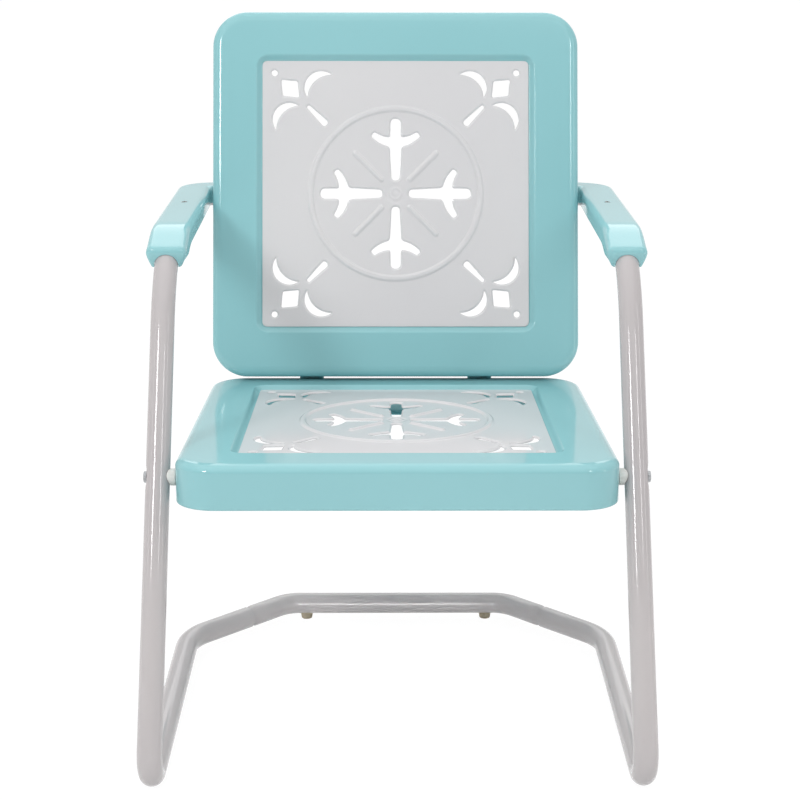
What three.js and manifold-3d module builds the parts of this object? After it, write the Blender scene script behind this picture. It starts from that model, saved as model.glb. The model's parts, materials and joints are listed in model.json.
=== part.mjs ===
// Retro metal spring lawn chair: two stamped steel pans with pierced tile panels, carried by a
// cantilever frame of bent steel tube. Millimetres, +Z up, the sitter faces -Y.
// Left and right are as seen by someone who stands in front of the chair and looks at it.

import * as THREE from 'three';
import { mergeVertices } from 'three/addons/utils/BufferGeometryUtils.js';
import Module from 'manifold-3d';

const wasm = await Module();
wasm.setup();

// Steel tube of the frame
const tubeDiameter = 28.6;
const tubeWall = 1.6;
const tubeSides = 16;
const boreSides = 10;
const bendStep = THREE.MathUtils.degToRad(10);

// Side frame; depths are measured back from where the line of the legs meets the floor
const seatSpacerLength = 7.2;
const legRake = THREE.MathUtils.degToRad(28.6);
const floorBendRadius = 26;
const runnerPitch = THREE.MathUtils.degToRad(1.15);
const shoulderCornerHeight = 572;
const shoulderBendRadius = 158;
const armSplay = 12;
const armTailStandoff = 34;
const armCornerHeight = 568;
const armCornerBendRadius = 50;
const armEndPastBolt = 21;

// Base behind the runners
const wingCornerDepth = 412;
const wingBendRadius = 70;
const wingInset = 126;
const crossTubeDepth = 537;
const crossBendRadius = 42;
const jointInset = 74;
const swageInsertion = 32;
const swageClearance = 0.3;
const swageNeckLength = 5;
const swageShoulderLength = 3;

// Rubber feet under the cross tube
const footTopDiameter = 17;
const footBottomDiameter = 15;
const footEdge = 0.6;
const footCupHeight = 4;
const footStemDiameter = 7.2;
const footStemReach = 5;
const footInset = 27;

// Stamped pans, the same die for seat and back
const panSide = 515;
const panDepth = 53.5;
const panSheet = 1.2;
const panCornerRadius = 49;
const panRollRadius = 10;
const panFlange = 16;
const panFlangeBend = 2.5;
const panRollSteps = 4;
const panCornerSteps = 6;
const recessDepth = 6.5;
const riserWidth = 9;
const riserRound = 2;
const riserRoundDrop = 0.8;
const riserTopCornerRadius = 19;
const ledgeWidth = 8;

// Tile panels that lie in the pans
const tileSide = 376;
const tileSheet = 1.2;
const tileCornerRadius = 8;
const tileFit = 0.4;

// Pierced and raised pattern of a tile panel
const cornerHoleDiameter = 8.4;
const cornerHoleInset = 17.6;
const diamondInset = 39.5;
const diamondLength = 35;
const diamondWidth = 29;
const leafRingGap = 13.4;
const leafDiamondGap = 17.5;
const leafInnerWidth = 9.4;
const leafOuterWidth = 4.5;
const crescentSpacing = 43.8;
const crescentRise = 1.1;
const crescentRadius = 23.5;
const crescentBiteDrop = 15.4;
const crescentBiteShift = 14.1;
const crescentBiteRadius = 34.1;
const propDimpleGap = 10.3;
const propRingGap = 9.4;
const propInnerWidth = 10.8;
const propMiddleWidth = 15.7;
const propOuterWidth = 13.8;
const propWingRoot = 71;
const propWingChord = 12.6;
const propWingTip = 81.5;
const propWingHalfSpan = 32.3;
const propWingTipChord = 7;
const propWingSweepShare = 0.25;
const propTipArcStart = THREE.MathUtils.degToRad(-60);
const propTipArcEnd = THREE.MathUtils.degToRad(108);
const ringOuterRadius = 124.3;
const ringWidth = 9.1;
const ribDimpleGap = 15.8;
const ribLength = 57.6;
const ribWidth = 8.4;
const embossHeight = 2.4;
const dimpleRadius = 8.4;
const dimpleFloorRadius = 4.2;
const dimpleDepth = 0.8;

// How the seat and the back stand; the seat's bolts sit on the legs, the back stands on the seat
const seatFrontHeight = 356.4;
const seatTilt = THREE.MathUtils.degToRad(3.3);
const seatBoltSetback = 55;
const seatBoltDrop = 27.2;
const backRecline = THREE.MathUtils.degToRad(16.5);
const backFootSetback = 38;
const backFootLift = 7.6;

// Arm covers, pressed channels that clip over the arms
const coverWidth = 49;
const coverSkirt = 24;
const coverSheet = 1.4;
const coverEdgeRadius = 9;
const coverWrapShare = 0.25;
const coverRunLength = 46;
const coverNoseRadius = 8;
const coverNoseSteps = 3;
const coverEndPastBend = 3;
const coverScrewSetback = 270;

// Fasteners
const boltDiameter = 6;
const boltHeadAcross = 12.4;
const boltHeadHeight = 3.8;
const boltHoleClearance = 0.3;
const boltTail = 2;
const nutAcross = 10;
const nutHeight = 5;
const hexSides = 6;
const shankSides = 10;
const washerDiameter = 15;
const washerThickness = 1.2;
const spacerDiameter = 20;
const backBoltInset = 36.5;
const boltDent = 1.8;
const boltDentHalfLength = 8;
const boltDentRun = 8;
const screwHeadDiameter = 9;
const screwHeadHeight = 2;
const screwShankDiameter = 4;
const screwLength = 9;
const screwPoint = 2;
const driverSlotWidth = 1.2;
const driverSlotDepth = 1.4;

// Plates that carry the arms' ends, riveted to the back pan's side flanges
const plateSheet = 3;
const plateInset = 3.5;
const plateWidth = 48;
const plateHalfHeight = 34;
const plateCornerRadius = 5;
const rivetInset = 8.5;
const rivetHalfPitch = 25;
const rivetDiameter = 4.8;
const rivetHeadDiameter = 9;
const rivetHeadHeight = 1.6;

// Strips that tie the back pan to the seat pan
const stripSheet = 3;
const stripWidth = 34;
const stripHalfSpacing = 120;
const stripLowerMargin = 3;
const stripUpperBendDrop = 14;
const stripBackReach = 24;
const stripBackStart = 2;
const apronBoltDrop = 29;

// Plugs in the open ends of the arms
const plugFlange = 2.4;
const plugCrownRadius = 11;
const plugShank = 4.5;

// Fit between touching pieces, and how far a cutting body runs past what it cuts
const gap = 0.3;
const overrun = 4;

// Values that follow
const tubeRadius = tubeDiameter / 2;
const boreRadius = tubeRadius - tubeWall;
const panHalf = panSide / 2;
const tileHalf = tileSide / 2;
const frameHalfWidth = panHalf + seatSpacerLength + tubeRadius;
const diamondReach = tileHalf - diamondInset;
const leafInnerReach = ringOuterRadius + leafRingGap;
const leafOuterReach = diamondReach * Math.SQRT2 - diamondLength / 2 - leafDiamondGap;
const crescentCentreReach = diamondReach + crescentRise;
const crescentCentreOffset = diamondReach - crescentSpacing;
const propInnerReach = dimpleRadius + propDimpleGap;
const propOuterReach = ringOuterRadius - ringWidth - propRingGap;
const ribInnerReach = dimpleRadius + ribDimpleGap;
const ribOuterReach = ribInnerReach + ribLength;
const floorTurn = Math.PI / 2 + legRake + runnerPitch;
const floorBendReach = floorBendRadius * Math.tan(floorTurn / 2);
const floorCornerHeight = tubeRadius - floorBendReach * Math.sin(runnerPitch);
const floorCornerDepth = floorCornerHeight * Math.tan(legRake);
const wingHeight = floorCornerHeight + (wingCornerDepth - floorCornerDepth) * Math.tan(runnerPitch);
const footHeight = wingHeight - tubeRadius;
const shoulderCornerDepth = shoulderCornerHeight * Math.tan(legRake);
const crossCornerHalfWidth = frameHalfWidth - wingInset;
const jointHalfWidth = frameHalfWidth - jointInset;
const footHalfWidth = crossCornerHalfWidth - footInset;
const seatBoltHeight = seatFrontHeight - seatBoltSetback * Math.sin(seatTilt)
  - seatBoltDrop * Math.cos(seatTilt);
const seatFrontDepth = seatBoltHeight * Math.tan(legRake) - seatBoltSetback * Math.cos(seatTilt)
  + seatBoltDrop * Math.sin(seatTilt);
const backFootReach = panSide - backFootSetback;
const backFootDepth = seatFrontDepth + backFootReach * Math.cos(seatTilt)
  + backFootLift * Math.sin(seatTilt);
const backFootHeight = seatFrontHeight - backFootReach * Math.sin(seatTilt)
  + backFootLift * Math.cos(seatTilt);
const backRearRise = armCornerHeight - backFootHeight + panDepth * Math.sin(backRecline);
const backRearDepth = backFootDepth + panDepth * Math.cos(backRecline)
  + backRearRise * Math.tan(backRecline);
const armCornerHalfWidth = frameHalfWidth + armSplay;
const armCornerDepth = backRearDepth + armTailStandoff / Math.cos(backRecline);
const backBoltHalfWidth = panHalf - backBoltInset;
const armEndHalfWidth = backBoltHalfWidth - armEndPastBolt;
const coverEndHalfWidth = armCornerHalfWidth - armCornerBendRadius - coverEndPastBend;
const plateOuterX = panHalf - plateInset;
const plateInnerX = plateOuterX - plateWidth;
const boltRadius = boltDiameter / 2;
const boltHoleRadius = boltRadius + boltHoleClearance;

// Materials
const enamelBlue = new THREE.Color(0x8fcbd0);
const enamelWhite = new THREE.Color(0xe4e4e6);
const zincGrey = new THREE.Color(0xb9bbbd);
const rubberBeige = new THREE.Color(0xb8ab95);
const nylonWhite = new THREE.Color(0xe9e8e4);

function enamel(color) {
  return new THREE.MeshStandardMaterial({ color, roughness: 0.28, metalness: 0.05 });
}

function zincPlate() {
  return new THREE.MeshStandardMaterial({ color: zincGrey, roughness: 0.35, metalness: 1 });
}

function rubber() {
  return new THREE.MeshStandardMaterial({ color: rubberBeige, roughness: 0.8, metalness: 0 });
}

function nylon() {
  return new THREE.MeshStandardMaterial({ color: nylonWhite, roughness: 0.45, metalness: 0 });
}

// Solids: geometry to a manifold and back
function toSolid(geometry) {
  const bare = geometry.clone();
  bare.deleteAttribute('normal');
  bare.deleteAttribute('uv');
  const merged = facingOut(mergeVertices(bare));
  return new wasm.Manifold(new wasm.Mesh({
    numProp: 3,
    vertProperties: new Float32Array(merged.attributes.position.array),
    triVerts: new Uint32Array(merged.index.array),
  }));
}

function toGeometry(solid) {
  const mesh = solid.getMesh();
  const geometry = new THREE.BufferGeometry();
  geometry.setAttribute('position', new THREE.BufferAttribute(mesh.vertProperties, 3));
  geometry.setIndex(new THREE.BufferAttribute(mesh.triVerts, 1));
  geometry.computeVertexNormals();
  return geometry;
}

function cut(geometry, ...tools) {
  let solid = toSolid(geometry);
  for (const tool of tools) {
    solid = solid.subtract(toSolid(tool));
  }
  return toGeometry(solid);
}

function join(geometry, ...others) {
  let solid = toSolid(geometry);
  for (const other of others) {
    solid = solid.add(toSolid(other));
  }
  return toGeometry(solid);
}

// A bar with its axis from one point towards another
function bar(from, direction, radius, length, sides = 12) {
  const geometry = new THREE.CylinderGeometry(radius, radius, length, sides);
  geometry.translate(0, length / 2, 0);
  const turn = new THREE.Quaternion();
  turn.setFromUnitVectors(new THREE.Vector3(0, 1, 0), direction.clone().normalize());
  geometry.applyQuaternion(turn);
  geometry.translate(from.x, from.y, from.z);
  return geometry;
}

// A turned piece: a profile of [radius, distance] points spun about the line from a point
function turned(profile, from, direction, segments = 16) {
  const points = profile.map(([radius, distance]) => new THREE.Vector2(radius, distance));
  const geometry = new THREE.LatheGeometry(points, segments);
  const turn = new THREE.Quaternion();
  turn.setFromUnitVectors(new THREE.Vector3(0, 1, 0), direction.clone().normalize());
  geometry.applyQuaternion(turn);
  geometry.translate(from.x, from.y, from.z);
  return facingOut(geometry);
}

function mirrored(geometry) {
  const copy = mergeVertices(geometry);
  copy.scale(-1, 1, 1);
  const index = copy.index.array;
  for (let i = 0; i < index.length; i += 3) {
    [index[i], index[i + 1]] = [index[i + 1], index[i]];
  }
  copy.computeVertexNormals();
  return copy;
}

// A skin through rings of equally many points; the ends are capped, or the last ring meets the first
function skin(rings, closed) {
  const count = rings[0].length;
  const positions = rings.flat().flatMap((point) => [point.x, point.y, point.z]);
  const index = [];
  const bands = closed ? rings.length : rings.length - 1;
  for (let i = 0; i < bands; i += 1) {
    const here = i * count;
    const next = ((i + 1) % rings.length) * count;
    for (let k = 0; k < count; k += 1) {
      const step = (k + 1) % count;
      index.push(here + k, here + step, next + step);
      index.push(here + k, next + step, next + k);
    }
  }
  if (!closed) {
    capRing(positions, index, 0, count, true);
    capRing(positions, index, (rings.length - 1) * count, count, false);
  }
  const geometry = new THREE.BufferGeometry();
  geometry.setAttribute('position', new THREE.Float32BufferAttribute(positions, 3));
  geometry.setIndex(index);
  return facingOut(geometry);
}

function capRing(positions, index, start, count, first) {
  const centre = new THREE.Vector3();
  for (let k = 0; k < count; k += 1) {
    centre.add(new THREE.Vector3().fromArray(positions, (start + k) * 3));
  }
  centre.divideScalar(count);
  const middle = positions.length / 3;
  positions.push(centre.x, centre.y, centre.z);
  for (let k = 0; k < count; k += 1) {
    const step = (k + 1) % count;
    index.push(middle, start + (first ? step : k), start + (first ? k : step));
  }
}

function facingOut(geometry) {
  const index = geometry.index.array;
  const point = geometry.attributes.position;
  const [a, b, c] = [new THREE.Vector3(), new THREE.Vector3(), new THREE.Vector3()];
  let volume = 0;
  for (let i = 0; i < index.length; i += 3) {
    a.fromBufferAttribute(point, index[i]);
    b.fromBufferAttribute(point, index[i + 1]);
    c.fromBufferAttribute(point, index[i + 2]);
    volume += a.dot(b.cross(c));
  }
  if (volume < 0) {
    for (let i = 0; i < index.length; i += 3) {
      [index[i], index[i + 1]] = [index[i + 1], index[i]];
    }
  }
  geometry.computeVertexNormals();
  return geometry;
}

// A tube's centre line: straights between corners, each corner rounded by its own bend radius.
// Every station keeps its point, its direction and the flat pressed into the tube there.
function bentPath(corners) {
  const stations = [];
  corners.forEach((corner, i) => {
    const before = corners[i - 1];
    const after = corners[i + 1];
    const arrive = before ? corner.at.clone().sub(before.at).normalize() : null;
    const leave = after ? after.at.clone().sub(corner.at).normalize() : null;
    if (!corner.bend) {
      stations.push({ at: corner.at, along: leave ?? arrive, flat: corner.flat });
      return;
    }
    const turn = arrive.angleTo(leave);
    const axis = arrive.clone().cross(leave).normalize();
    const steps = Math.max(2, Math.round(turn / bendStep));
    const start = corner.at.clone().addScaledVector(arrive, -corner.bend * Math.tan(turn / 2));
    const inward = axis.clone().cross(arrive);
    const centre = start.clone().addScaledVector(inward, corner.bend);
    for (let k = 0; k <= steps; k += 1) {
      const angle = (turn * k) / steps;
      const at = start.clone().sub(centre).applyAxisAngle(axis, angle).add(centre);
      stations.push({ at, along: arrive.clone().applyAxisAngle(axis, angle) });
    }
  });
  return stations;
}

// Side and top directions carried along a path without twist, starting from one side direction
function framed(stations, firstSide) {
  let side = firstSide.clone();
  return stations.map((station) => {
    side = side.clone().addScaledVector(station.along, -side.dot(station.along)).normalize();
    return { ...station, side, top: side.clone().cross(station.along).normalize() };
  });
}

// A section swept along framed stations; section(station) gives [sideways, upwards] pairs
function swept(stations, section) {
  const rings = stations.map((station) => section(station).map(([sideways, upwards]) => (
    station.at.clone()
      .addScaledVector(station.side, sideways)
      .addScaledVector(station.top, upwards)
  )));
  return skin(rings, false);
}

function roundSection(radius, sides) {
  const points = [];
  for (let k = 0; k < sides; k += 1) {
    const angle = (2 * Math.PI * k) / sides;
    points.push([radius * Math.cos(angle), radius * Math.sin(angle)]);
  }
  return points;
}

// A round tube's skin; where a station has a flat, the skin stops at the flat's depth
function sweptTube(stations, radiusAt, sides) {
  const rings = stations.map((station) => {
    const radius = radiusAt(station);
    return roundSection(radius, sides).map(([sideways, upwards]) => {
      const arm = station.side.clone().multiplyScalar(sideways)
        .addScaledVector(station.top, upwards);
      const past = station.flat ? arm.dot(station.flat.facing) - radius + station.flat.depth : 0;
      if (past > 0) {
        arm.addScaledVector(station.flat.facing, -past);
      }
      return arm.add(station.at);
    });
  });
  return skin(rings, false);
}

// A point in the plane of the right leg
function sidePoint(depth, height) {
  return new THREE.Vector3(frameHalfWidth, depth, height);
}

// The two pans' own frames: x to the right, y away from the front or foot edge, z out of the face
const seatFrame = new THREE.Group();
seatFrame.rotation.x = -seatTilt;
seatFrame.position.set(
  0,
  seatFrontDepth + panHalf * Math.cos(seatTilt),
  seatFrontHeight - panHalf * Math.sin(seatTilt),
);
seatFrame.updateMatrix();

const backFrame = new THREE.Group();
backFrame.rotation.x = Math.PI / 2 - backRecline;
backFrame.position.set(
  0,
  backFootDepth + panHalf * Math.sin(backRecline),
  backFootHeight + panHalf * Math.cos(backRecline),
);
backFrame.updateMatrix();

function inFrame(frame, x, y, z) {
  return new THREE.Vector3(x, y, z).applyMatrix4(frame.matrix);
}

function directionIn(frame, x, y, z) {
  return new THREE.Vector3(x, y, z).transformDirection(frame.matrix);
}

// Corners of the tube and the bolts' places on it
const armCorner = new THREE.Vector3(armCornerHalfWidth, armCornerDepth, armCornerHeight);
const armEnd = armCorner.clone().setX(armEndHalfWidth);
const shoulderCorner = sidePoint(shoulderCornerDepth, shoulderCornerHeight);
const armForward = shoulderCorner.clone().sub(armCorner).normalize();
const legDown = new THREE.Vector3(0, -Math.sin(legRake), -Math.cos(legRake));
const inward = new THREE.Vector3(-1, 0, 0);
const outward = new THREE.Vector3(1, 0, 0);
const upward = new THREE.Vector3(0, 0, 1);
const backFront = directionIn(backFrame, 0, 0, 1);
const backRear = backFront.clone().negate();
const coverScrewAxis = new THREE.Vector3(0, 0, -1);
const seatBolt = sidePoint(seatBoltHeight * Math.tan(legRake), seatBoltHeight);
const backBolt = armCorner.clone().setX(backBoltHalfWidth);

// Marks on a straight that flatten one side of the tube where a bolt draws it in
function flatMarks(centre, direction, facing) {
  const near = boltDentHalfLength;
  const far = near + boltDentRun;
  return [[-far, 0], [-near, boltDent], [near, boltDent], [far, 0]].map(([distance, depth]) => (
    { at: centre.clone().addScaledVector(direction, distance), flat: { depth, facing } }
  ));
}

function wingPoint(halfWidth) {
  const share = (frameHalfWidth - halfWidth) / (frameHalfWidth - crossCornerHalfWidth);
  const depth = wingCornerDepth + (crossTubeDepth - wingCornerDepth) * share;
  return new THREE.Vector3(halfWidth, depth, wingHeight);
}

const sidePath = framed(bentPath([
  { at: armEnd },
  ...flatMarks(backBolt, outward, backRear),
  { at: armCorner, bend: armCornerBendRadius },
  { at: shoulderCorner, bend: shoulderBendRadius },
  ...flatMarks(seatBolt, legDown, outward),
  { at: sidePoint(floorCornerDepth, floorCornerHeight), bend: floorBendRadius },
  { at: sidePoint(wingCornerDepth, wingHeight), bend: wingBendRadius },
  { at: wingPoint(jointHalfWidth) },
]), new THREE.Vector3(0, 1, 0));

// Path lengthened at both ends, for bodies that have to run past what they cut
function lengthened(stations, extra) {
  const first = stations[0];
  const last = stations[stations.length - 1];
  return [
    { ...first, at: first.at.clone().addScaledVector(first.along, -extra) },
    ...stations,
    { ...last, at: last.at.clone().addScaledVector(last.along, extra) },
  ];
}

// One side tube: arm, shoulder, leg, floor bend, runner and wing out of one length of tube
function sideTube() {
  const outside = sweptTube(sidePath, () => tubeRadius, tubeSides);
  const bore = sweptTube(lengthened(sidePath, overrun), () => boreRadius, boreSides);
  const through = tubeDiameter + 2 * overrun;
  const seatHole = bar(
    seatBolt.clone().addScaledVector(outward, through / 2), inward, boltHoleRadius, through,
  );
  const backHole = bar(
    backBolt.clone().addScaledVector(backRear, through / 2), backFront, boltHoleRadius, through,
  );
  const screwHole = bar(
    coverScrewSeat(overrun), coverScrewAxis, screwShankDiameter / 2 + gap, tubeRadius + overrun,
  );
  return cut(outside, bore, seatHole, backHole, screwHole);
}

// The cross tube closes the base at the back; its swaged ends slide into the side tubes
function crossTube() {
  const corner = new THREE.Vector3(crossCornerHalfWidth, crossTubeDepth, wingHeight);
  const joint = wingPoint(jointHalfWidth);
  const wing = joint.clone().sub(corner).normalize();
  const swageRadius = boreRadius * Math.cos(Math.PI / boreSides) - swageClearance;
  const onWing = (distance) => joint.clone().addScaledVector(wing, distance);
  const end = [
    { at: onWing(swageInsertion), radius: swageRadius },
    { at: onWing(-swageNeckLength), radius: swageRadius },
    { at: onWing(-swageNeckLength - swageShoulderLength), radius: tubeRadius },
  ];
  const flip = ({ at, radius }) => ({ at: at.clone().setX(-at.x), radius });
  const corners = [
    ...end,
    { at: corner, bend: crossBendRadius },
    { at: corner.clone().setX(-corner.x), bend: crossBendRadius },
    ...end.map(flip).reverse(),
  ];
  const stations = framed(bentPath(corners), new THREE.Vector3(0, 0, 1));
  const radiusAt = (station) => (
    corners.find((mark) => mark.radius && mark.at.distanceTo(station.at) < gap)?.radius ?? tubeRadius
  );
  const outside = sweptTube(stations, radiusAt, tubeSides);
  const boreAt = (station) => radiusAt(station) - tubeWall;
  const bore = sweptTube(lengthened(stations, overrun), boreAt, boreSides);
  const stemHoles = [-1, 1].map((side) => bar(
    new THREE.Vector3(side * footHalfWidth, crossTubeDepth, footHeight - overrun),
    upward, footStemDiameter / 2 + gap, tubeWall + overrun * 2,
  ));
  return cut(outside, bore, ...stemHoles);
}

// A rubber foot: tapered pad cupped to the tube above it, with a stem pressed into the tube
function foot(halfWidth) {
  const at = new THREE.Vector3(halfWidth, crossTubeDepth, 0);
  const top = footHeight + footCupHeight;
  const pad = turned([
    [0, 0],
    [footBottomDiameter / 2 - footEdge, 0],
    [footBottomDiameter / 2, footEdge],
    [footTopDiameter / 2, footHeight],
    [footTopDiameter / 2, top],
    [0, top],
  ], at, upward);
  const start = at.clone().setZ(wingHeight).addScaledVector(inward, footTopDiameter);
  const saddle = bar(start, outward, tubeRadius + gap, footTopDiameter * 2, 24);
  const stem = bar(at.clone().setZ(footHeight / 2), upward, footStemDiameter / 2,
    footHeight / 2 + tubeWall + footStemReach);
  return join(cut(pad, saddle), stem);
}

// Rounded square ring of a pan, counted from the middle of its right side
function squareRing(half, cornerRadius, height) {
  const points = [];
  for (let corner = 0; corner < 4; corner += 1) {
    const facing = (corner * Math.PI) / 2;
    for (let k = 0; k <= panCornerSteps; k += 1) {
      const angle = facing + (k * Math.PI) / 2 / panCornerSteps;
      const signX = corner === 0 || corner === 3 ? 1 : -1;
      const signY = corner < 2 ? 1 : -1;
      points.push(new THREE.Vector3(
        signX * (half - cornerRadius) + cornerRadius * Math.cos(angle),
        signY * (half - cornerRadius) + cornerRadius * Math.sin(angle),
        height,
      ));
    }
  }
  return points;
}

// A stamped pan: inward flange, deep side, rolled edge, flat border, sunken ledge for the tile
function panShell() {
  const rings = [];
  const ring = (inset, corner, height) => rings.push(squareRing(panHalf - inset, corner, height));
  const cornerAt = (inset) => panCornerRadius - inset;
  const sink = panHalf - tileHalf;
  const ledgeCorner = tileCornerRadius - ledgeWidth / 2;
  const riserInset = sink - riserWidth;
  ring(panFlange, cornerAt(panFlange), -panDepth);
  ring(panFlangeBend, cornerAt(panFlangeBend), -panDepth);
  ring(0, cornerAt(0), panFlangeBend - panDepth);
  for (let k = 0; k <= panRollSteps; k += 1) {
    const angle = (k * Math.PI) / 2 / panRollSteps;
    const inset = panRollRadius * (1 - Math.cos(angle));
    ring(inset, cornerAt(inset), panRollRadius * (Math.sin(angle) - 1));
  }
  ring(riserInset, riserTopCornerRadius, 0);
  ring(riserInset + riserRound, riserTopCornerRadius - riserRound, -riserRoundDrop);
  ring(sink - riserRound, tileCornerRadius + riserRound, riserRoundDrop - recessDepth);
  ring(sink, tileCornerRadius, -recessDepth);
  ring(sink + ledgeWidth, ledgeCorner, -recessDepth);
  ring(sink + ledgeWidth, ledgeCorner, -recessDepth - panSheet);
  ring(sink - panSheet / 2, tileCornerRadius + panSheet, -recessDepth - panSheet);
  ring(riserInset - panSheet / 2, riserTopCornerRadius + panSheet, -panSheet);
  for (let k = panRollSteps; k >= 0; k -= 1) {
    const angle = (k * Math.PI) / 2 / panRollSteps;
    const inset = panRollRadius - (panRollRadius - panSheet) * Math.cos(angle);
    ring(inset, cornerAt(inset), (panRollRadius - panSheet) * Math.sin(angle) - panRollRadius);
  }
  ring(panSheet, cornerAt(panSheet), panFlangeBend - panDepth);
  ring(panFlangeBend, cornerAt(panFlangeBend), panSheet - panDepth);
  ring(panFlange, cornerAt(panFlange), panSheet - panDepth);
  return skin(rings, true);
}

// Corner of a tile outline or opening with an arc of its own radius
function roundedSquare(half, radius) {
  const shape = new THREE.Shape();
  shape.moveTo(half - radius, -half);
  shape.absarc(half - radius, -half + radius, radius, -Math.PI / 2, 0);
  shape.absarc(half - radius, half - radius, radius, 0, Math.PI / 2);
  shape.absarc(-half + radius, half - radius, radius, Math.PI / 2, Math.PI);
  shape.absarc(-half + radius, -half + radius, radius, Math.PI, Math.PI * 1.5);
  shape.closePath();
  return shape;
}

function turnedPath(points, angle) {
  const middle = new THREE.Vector2(0, 0);
  return new THREE.Path(points.map((point) => point.clone().rotateAround(middle, angle)));
}

function arcPoints(x, y, radius, from, to, steps) {
  const points = [];
  for (let k = 0; k <= steps; k += 1) {
    const angle = from + ((to - from) * k) / steps;
    points.push(new THREE.Vector2(x + radius * Math.cos(angle), y + radius * Math.sin(angle)));
  }
  return points;
}

// A crescent is a disc with a larger disc bitten out of it
function crescent(swap) {
  const centre = new THREE.Vector2(crescentCentreOffset, crescentCentreReach);
  const bite = new THREE.Vector2(
    crescentCentreOffset - crescentBiteShift, crescentCentreReach - crescentBiteDrop,
  );
  const between = centre.clone().sub(bite);
  const distance = between.length();
  const aim = between.angle();
  const [big, small] = [crescentBiteRadius, crescentRadius];
  const onBite = Math.acos((distance ** 2 + big ** 2 - small ** 2) / (2 * distance * big));
  const onDisc = Math.acos((distance ** 2 + small ** 2 - big ** 2) / (2 * distance * small));
  const outer = arcPoints(centre.x, centre.y, small, aim - Math.PI + onDisc,
    aim + Math.PI - onDisc, 8);
  const inner = arcPoints(bite.x, bite.y, big, aim + onBite, aim - onBite, 5);
  const points = [...outer, ...inner.slice(1, -1)];
  return swap ? points.map((point) => new THREE.Vector2(point.y, point.x)) : points;
}

// Diamond with its long axis on the tile's diagonal
function diamond() {
  const centre = new THREE.Vector2(diamondReach, diamondReach);
  return [[1, 0], [0, 1], [-1, 0], [0, -1]].map(([long, wide]) => (
    new THREE.Vector2((long * diamondLength) / 2, (wide * diamondWidth) / 2)
      .rotateAround(new THREE.Vector2(0, 0), Math.PI / 4)
      .add(centre)
  ));
}

// Leaf-shaped slot on the diagonal, wide towards the middle of the tile
function leaf() {
  const inner = leafInnerWidth / 2;
  const outer = leafOuterWidth / 2;
  const points = [
    ...arcPoints(leafOuterReach - outer, 0, outer, -Math.PI / 2, Math.PI / 2, 4),
    ...arcPoints(leafInnerReach + inner, 0, inner, Math.PI / 2, Math.PI * 1.5, 5),
  ];
  return points.map((point) => point.rotateAround(new THREE.Vector2(0, 0), Math.PI / 4));
}

// Propeller-like opening on the tile's axis: a long bar with two swept wings
function propeller() {
  const outer = propOuterWidth / 2;
  const inner = propInnerWidth / 2;
  const middle = propMiddleWidth / 2;
  const tip = propWingTipChord / 2;
  const rise = propWingTip - propWingRoot;
  const right = [
    new THREE.Vector2(middle, propWingRoot - propWingChord / 2),
    ...arcPoints(propWingHalfSpan - tip, propWingTip, tip, propTipArcStart, propTipArcEnd, 4),
    new THREE.Vector2(outer, propWingRoot + propWingChord / 2 + rise * propWingSweepShare),
  ];
  const left = right.map((point) => new THREE.Vector2(-point.x, point.y)).reverse();
  return [
    ...arcPoints(0, propInnerReach + inner, inner, Math.PI, 2 * Math.PI, 5),
    ...right,
    ...arcPoints(0, propOuterReach - outer, outer, 0, Math.PI, 5),
    ...left,
  ];
}

function tileOpenings() {
  const hole = tileHalf - cornerHoleInset;
  const openings = [];
  for (let quarter = 0; quarter < 4; quarter += 1) {
    const angle = (quarter * Math.PI) / 2;
    openings.push(turnedPath(arcPoints(hole, hole, cornerHoleDiameter / 2, 0, 2 * Math.PI, 10)
      .slice(0, -1), angle));
    openings.push(turnedPath(diamond(), angle));
    openings.push(turnedPath(leaf(), angle));
    openings.push(turnedPath(crescent(false), angle));
    openings.push(turnedPath(crescent(true), angle));
    openings.push(turnedPath(propeller(), angle));
  }
  return openings;
}

// Half-round ridge that runs round the tile, as a ring about its middle
function ridgeRing(width, height, base) {
  const middle = ringOuterRadius - ringWidth / 2;
  const profile = arcPoints(middle, 0, 1, 0, Math.PI, 5)
    .map((point) => [middle + (point.x - middle) * (width / 2), base + point.y * height]);
  profile.push([middle - width / 2, base - tileSheet / 2]);
  profile.push([middle + width / 2, base - tileSheet / 2]);
  profile.push(profile[0]);
  return turned(profile, new THREE.Vector3(), new THREE.Vector3(0, 0, 1), 32);
}

// Raised rib on a diagonal, with sloping sides and round ends
function rib(quarter, width, height, base) {
  const rings = [[0, -tileSheet / 2], [0, 0], [height, height]].map(([draw, rise]) => {
    const half = (width - draw) / 2;
    const outline = [
      ...arcPoints(ribOuterReach - width / 2, 0, half, -Math.PI / 2, Math.PI / 2, 3),
      ...arcPoints(ribInnerReach + width / 2, 0, half, Math.PI / 2, Math.PI * 1.5, 3),
    ];
    return outline.map((point) => {
      point.rotateAround(new THREE.Vector2(0, 0), Math.PI / 4 + (quarter * Math.PI) / 2);
      return new THREE.Vector3(point.x, point.y, base + rise);
    });
  });
  return skin(rings, false);
}

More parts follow.
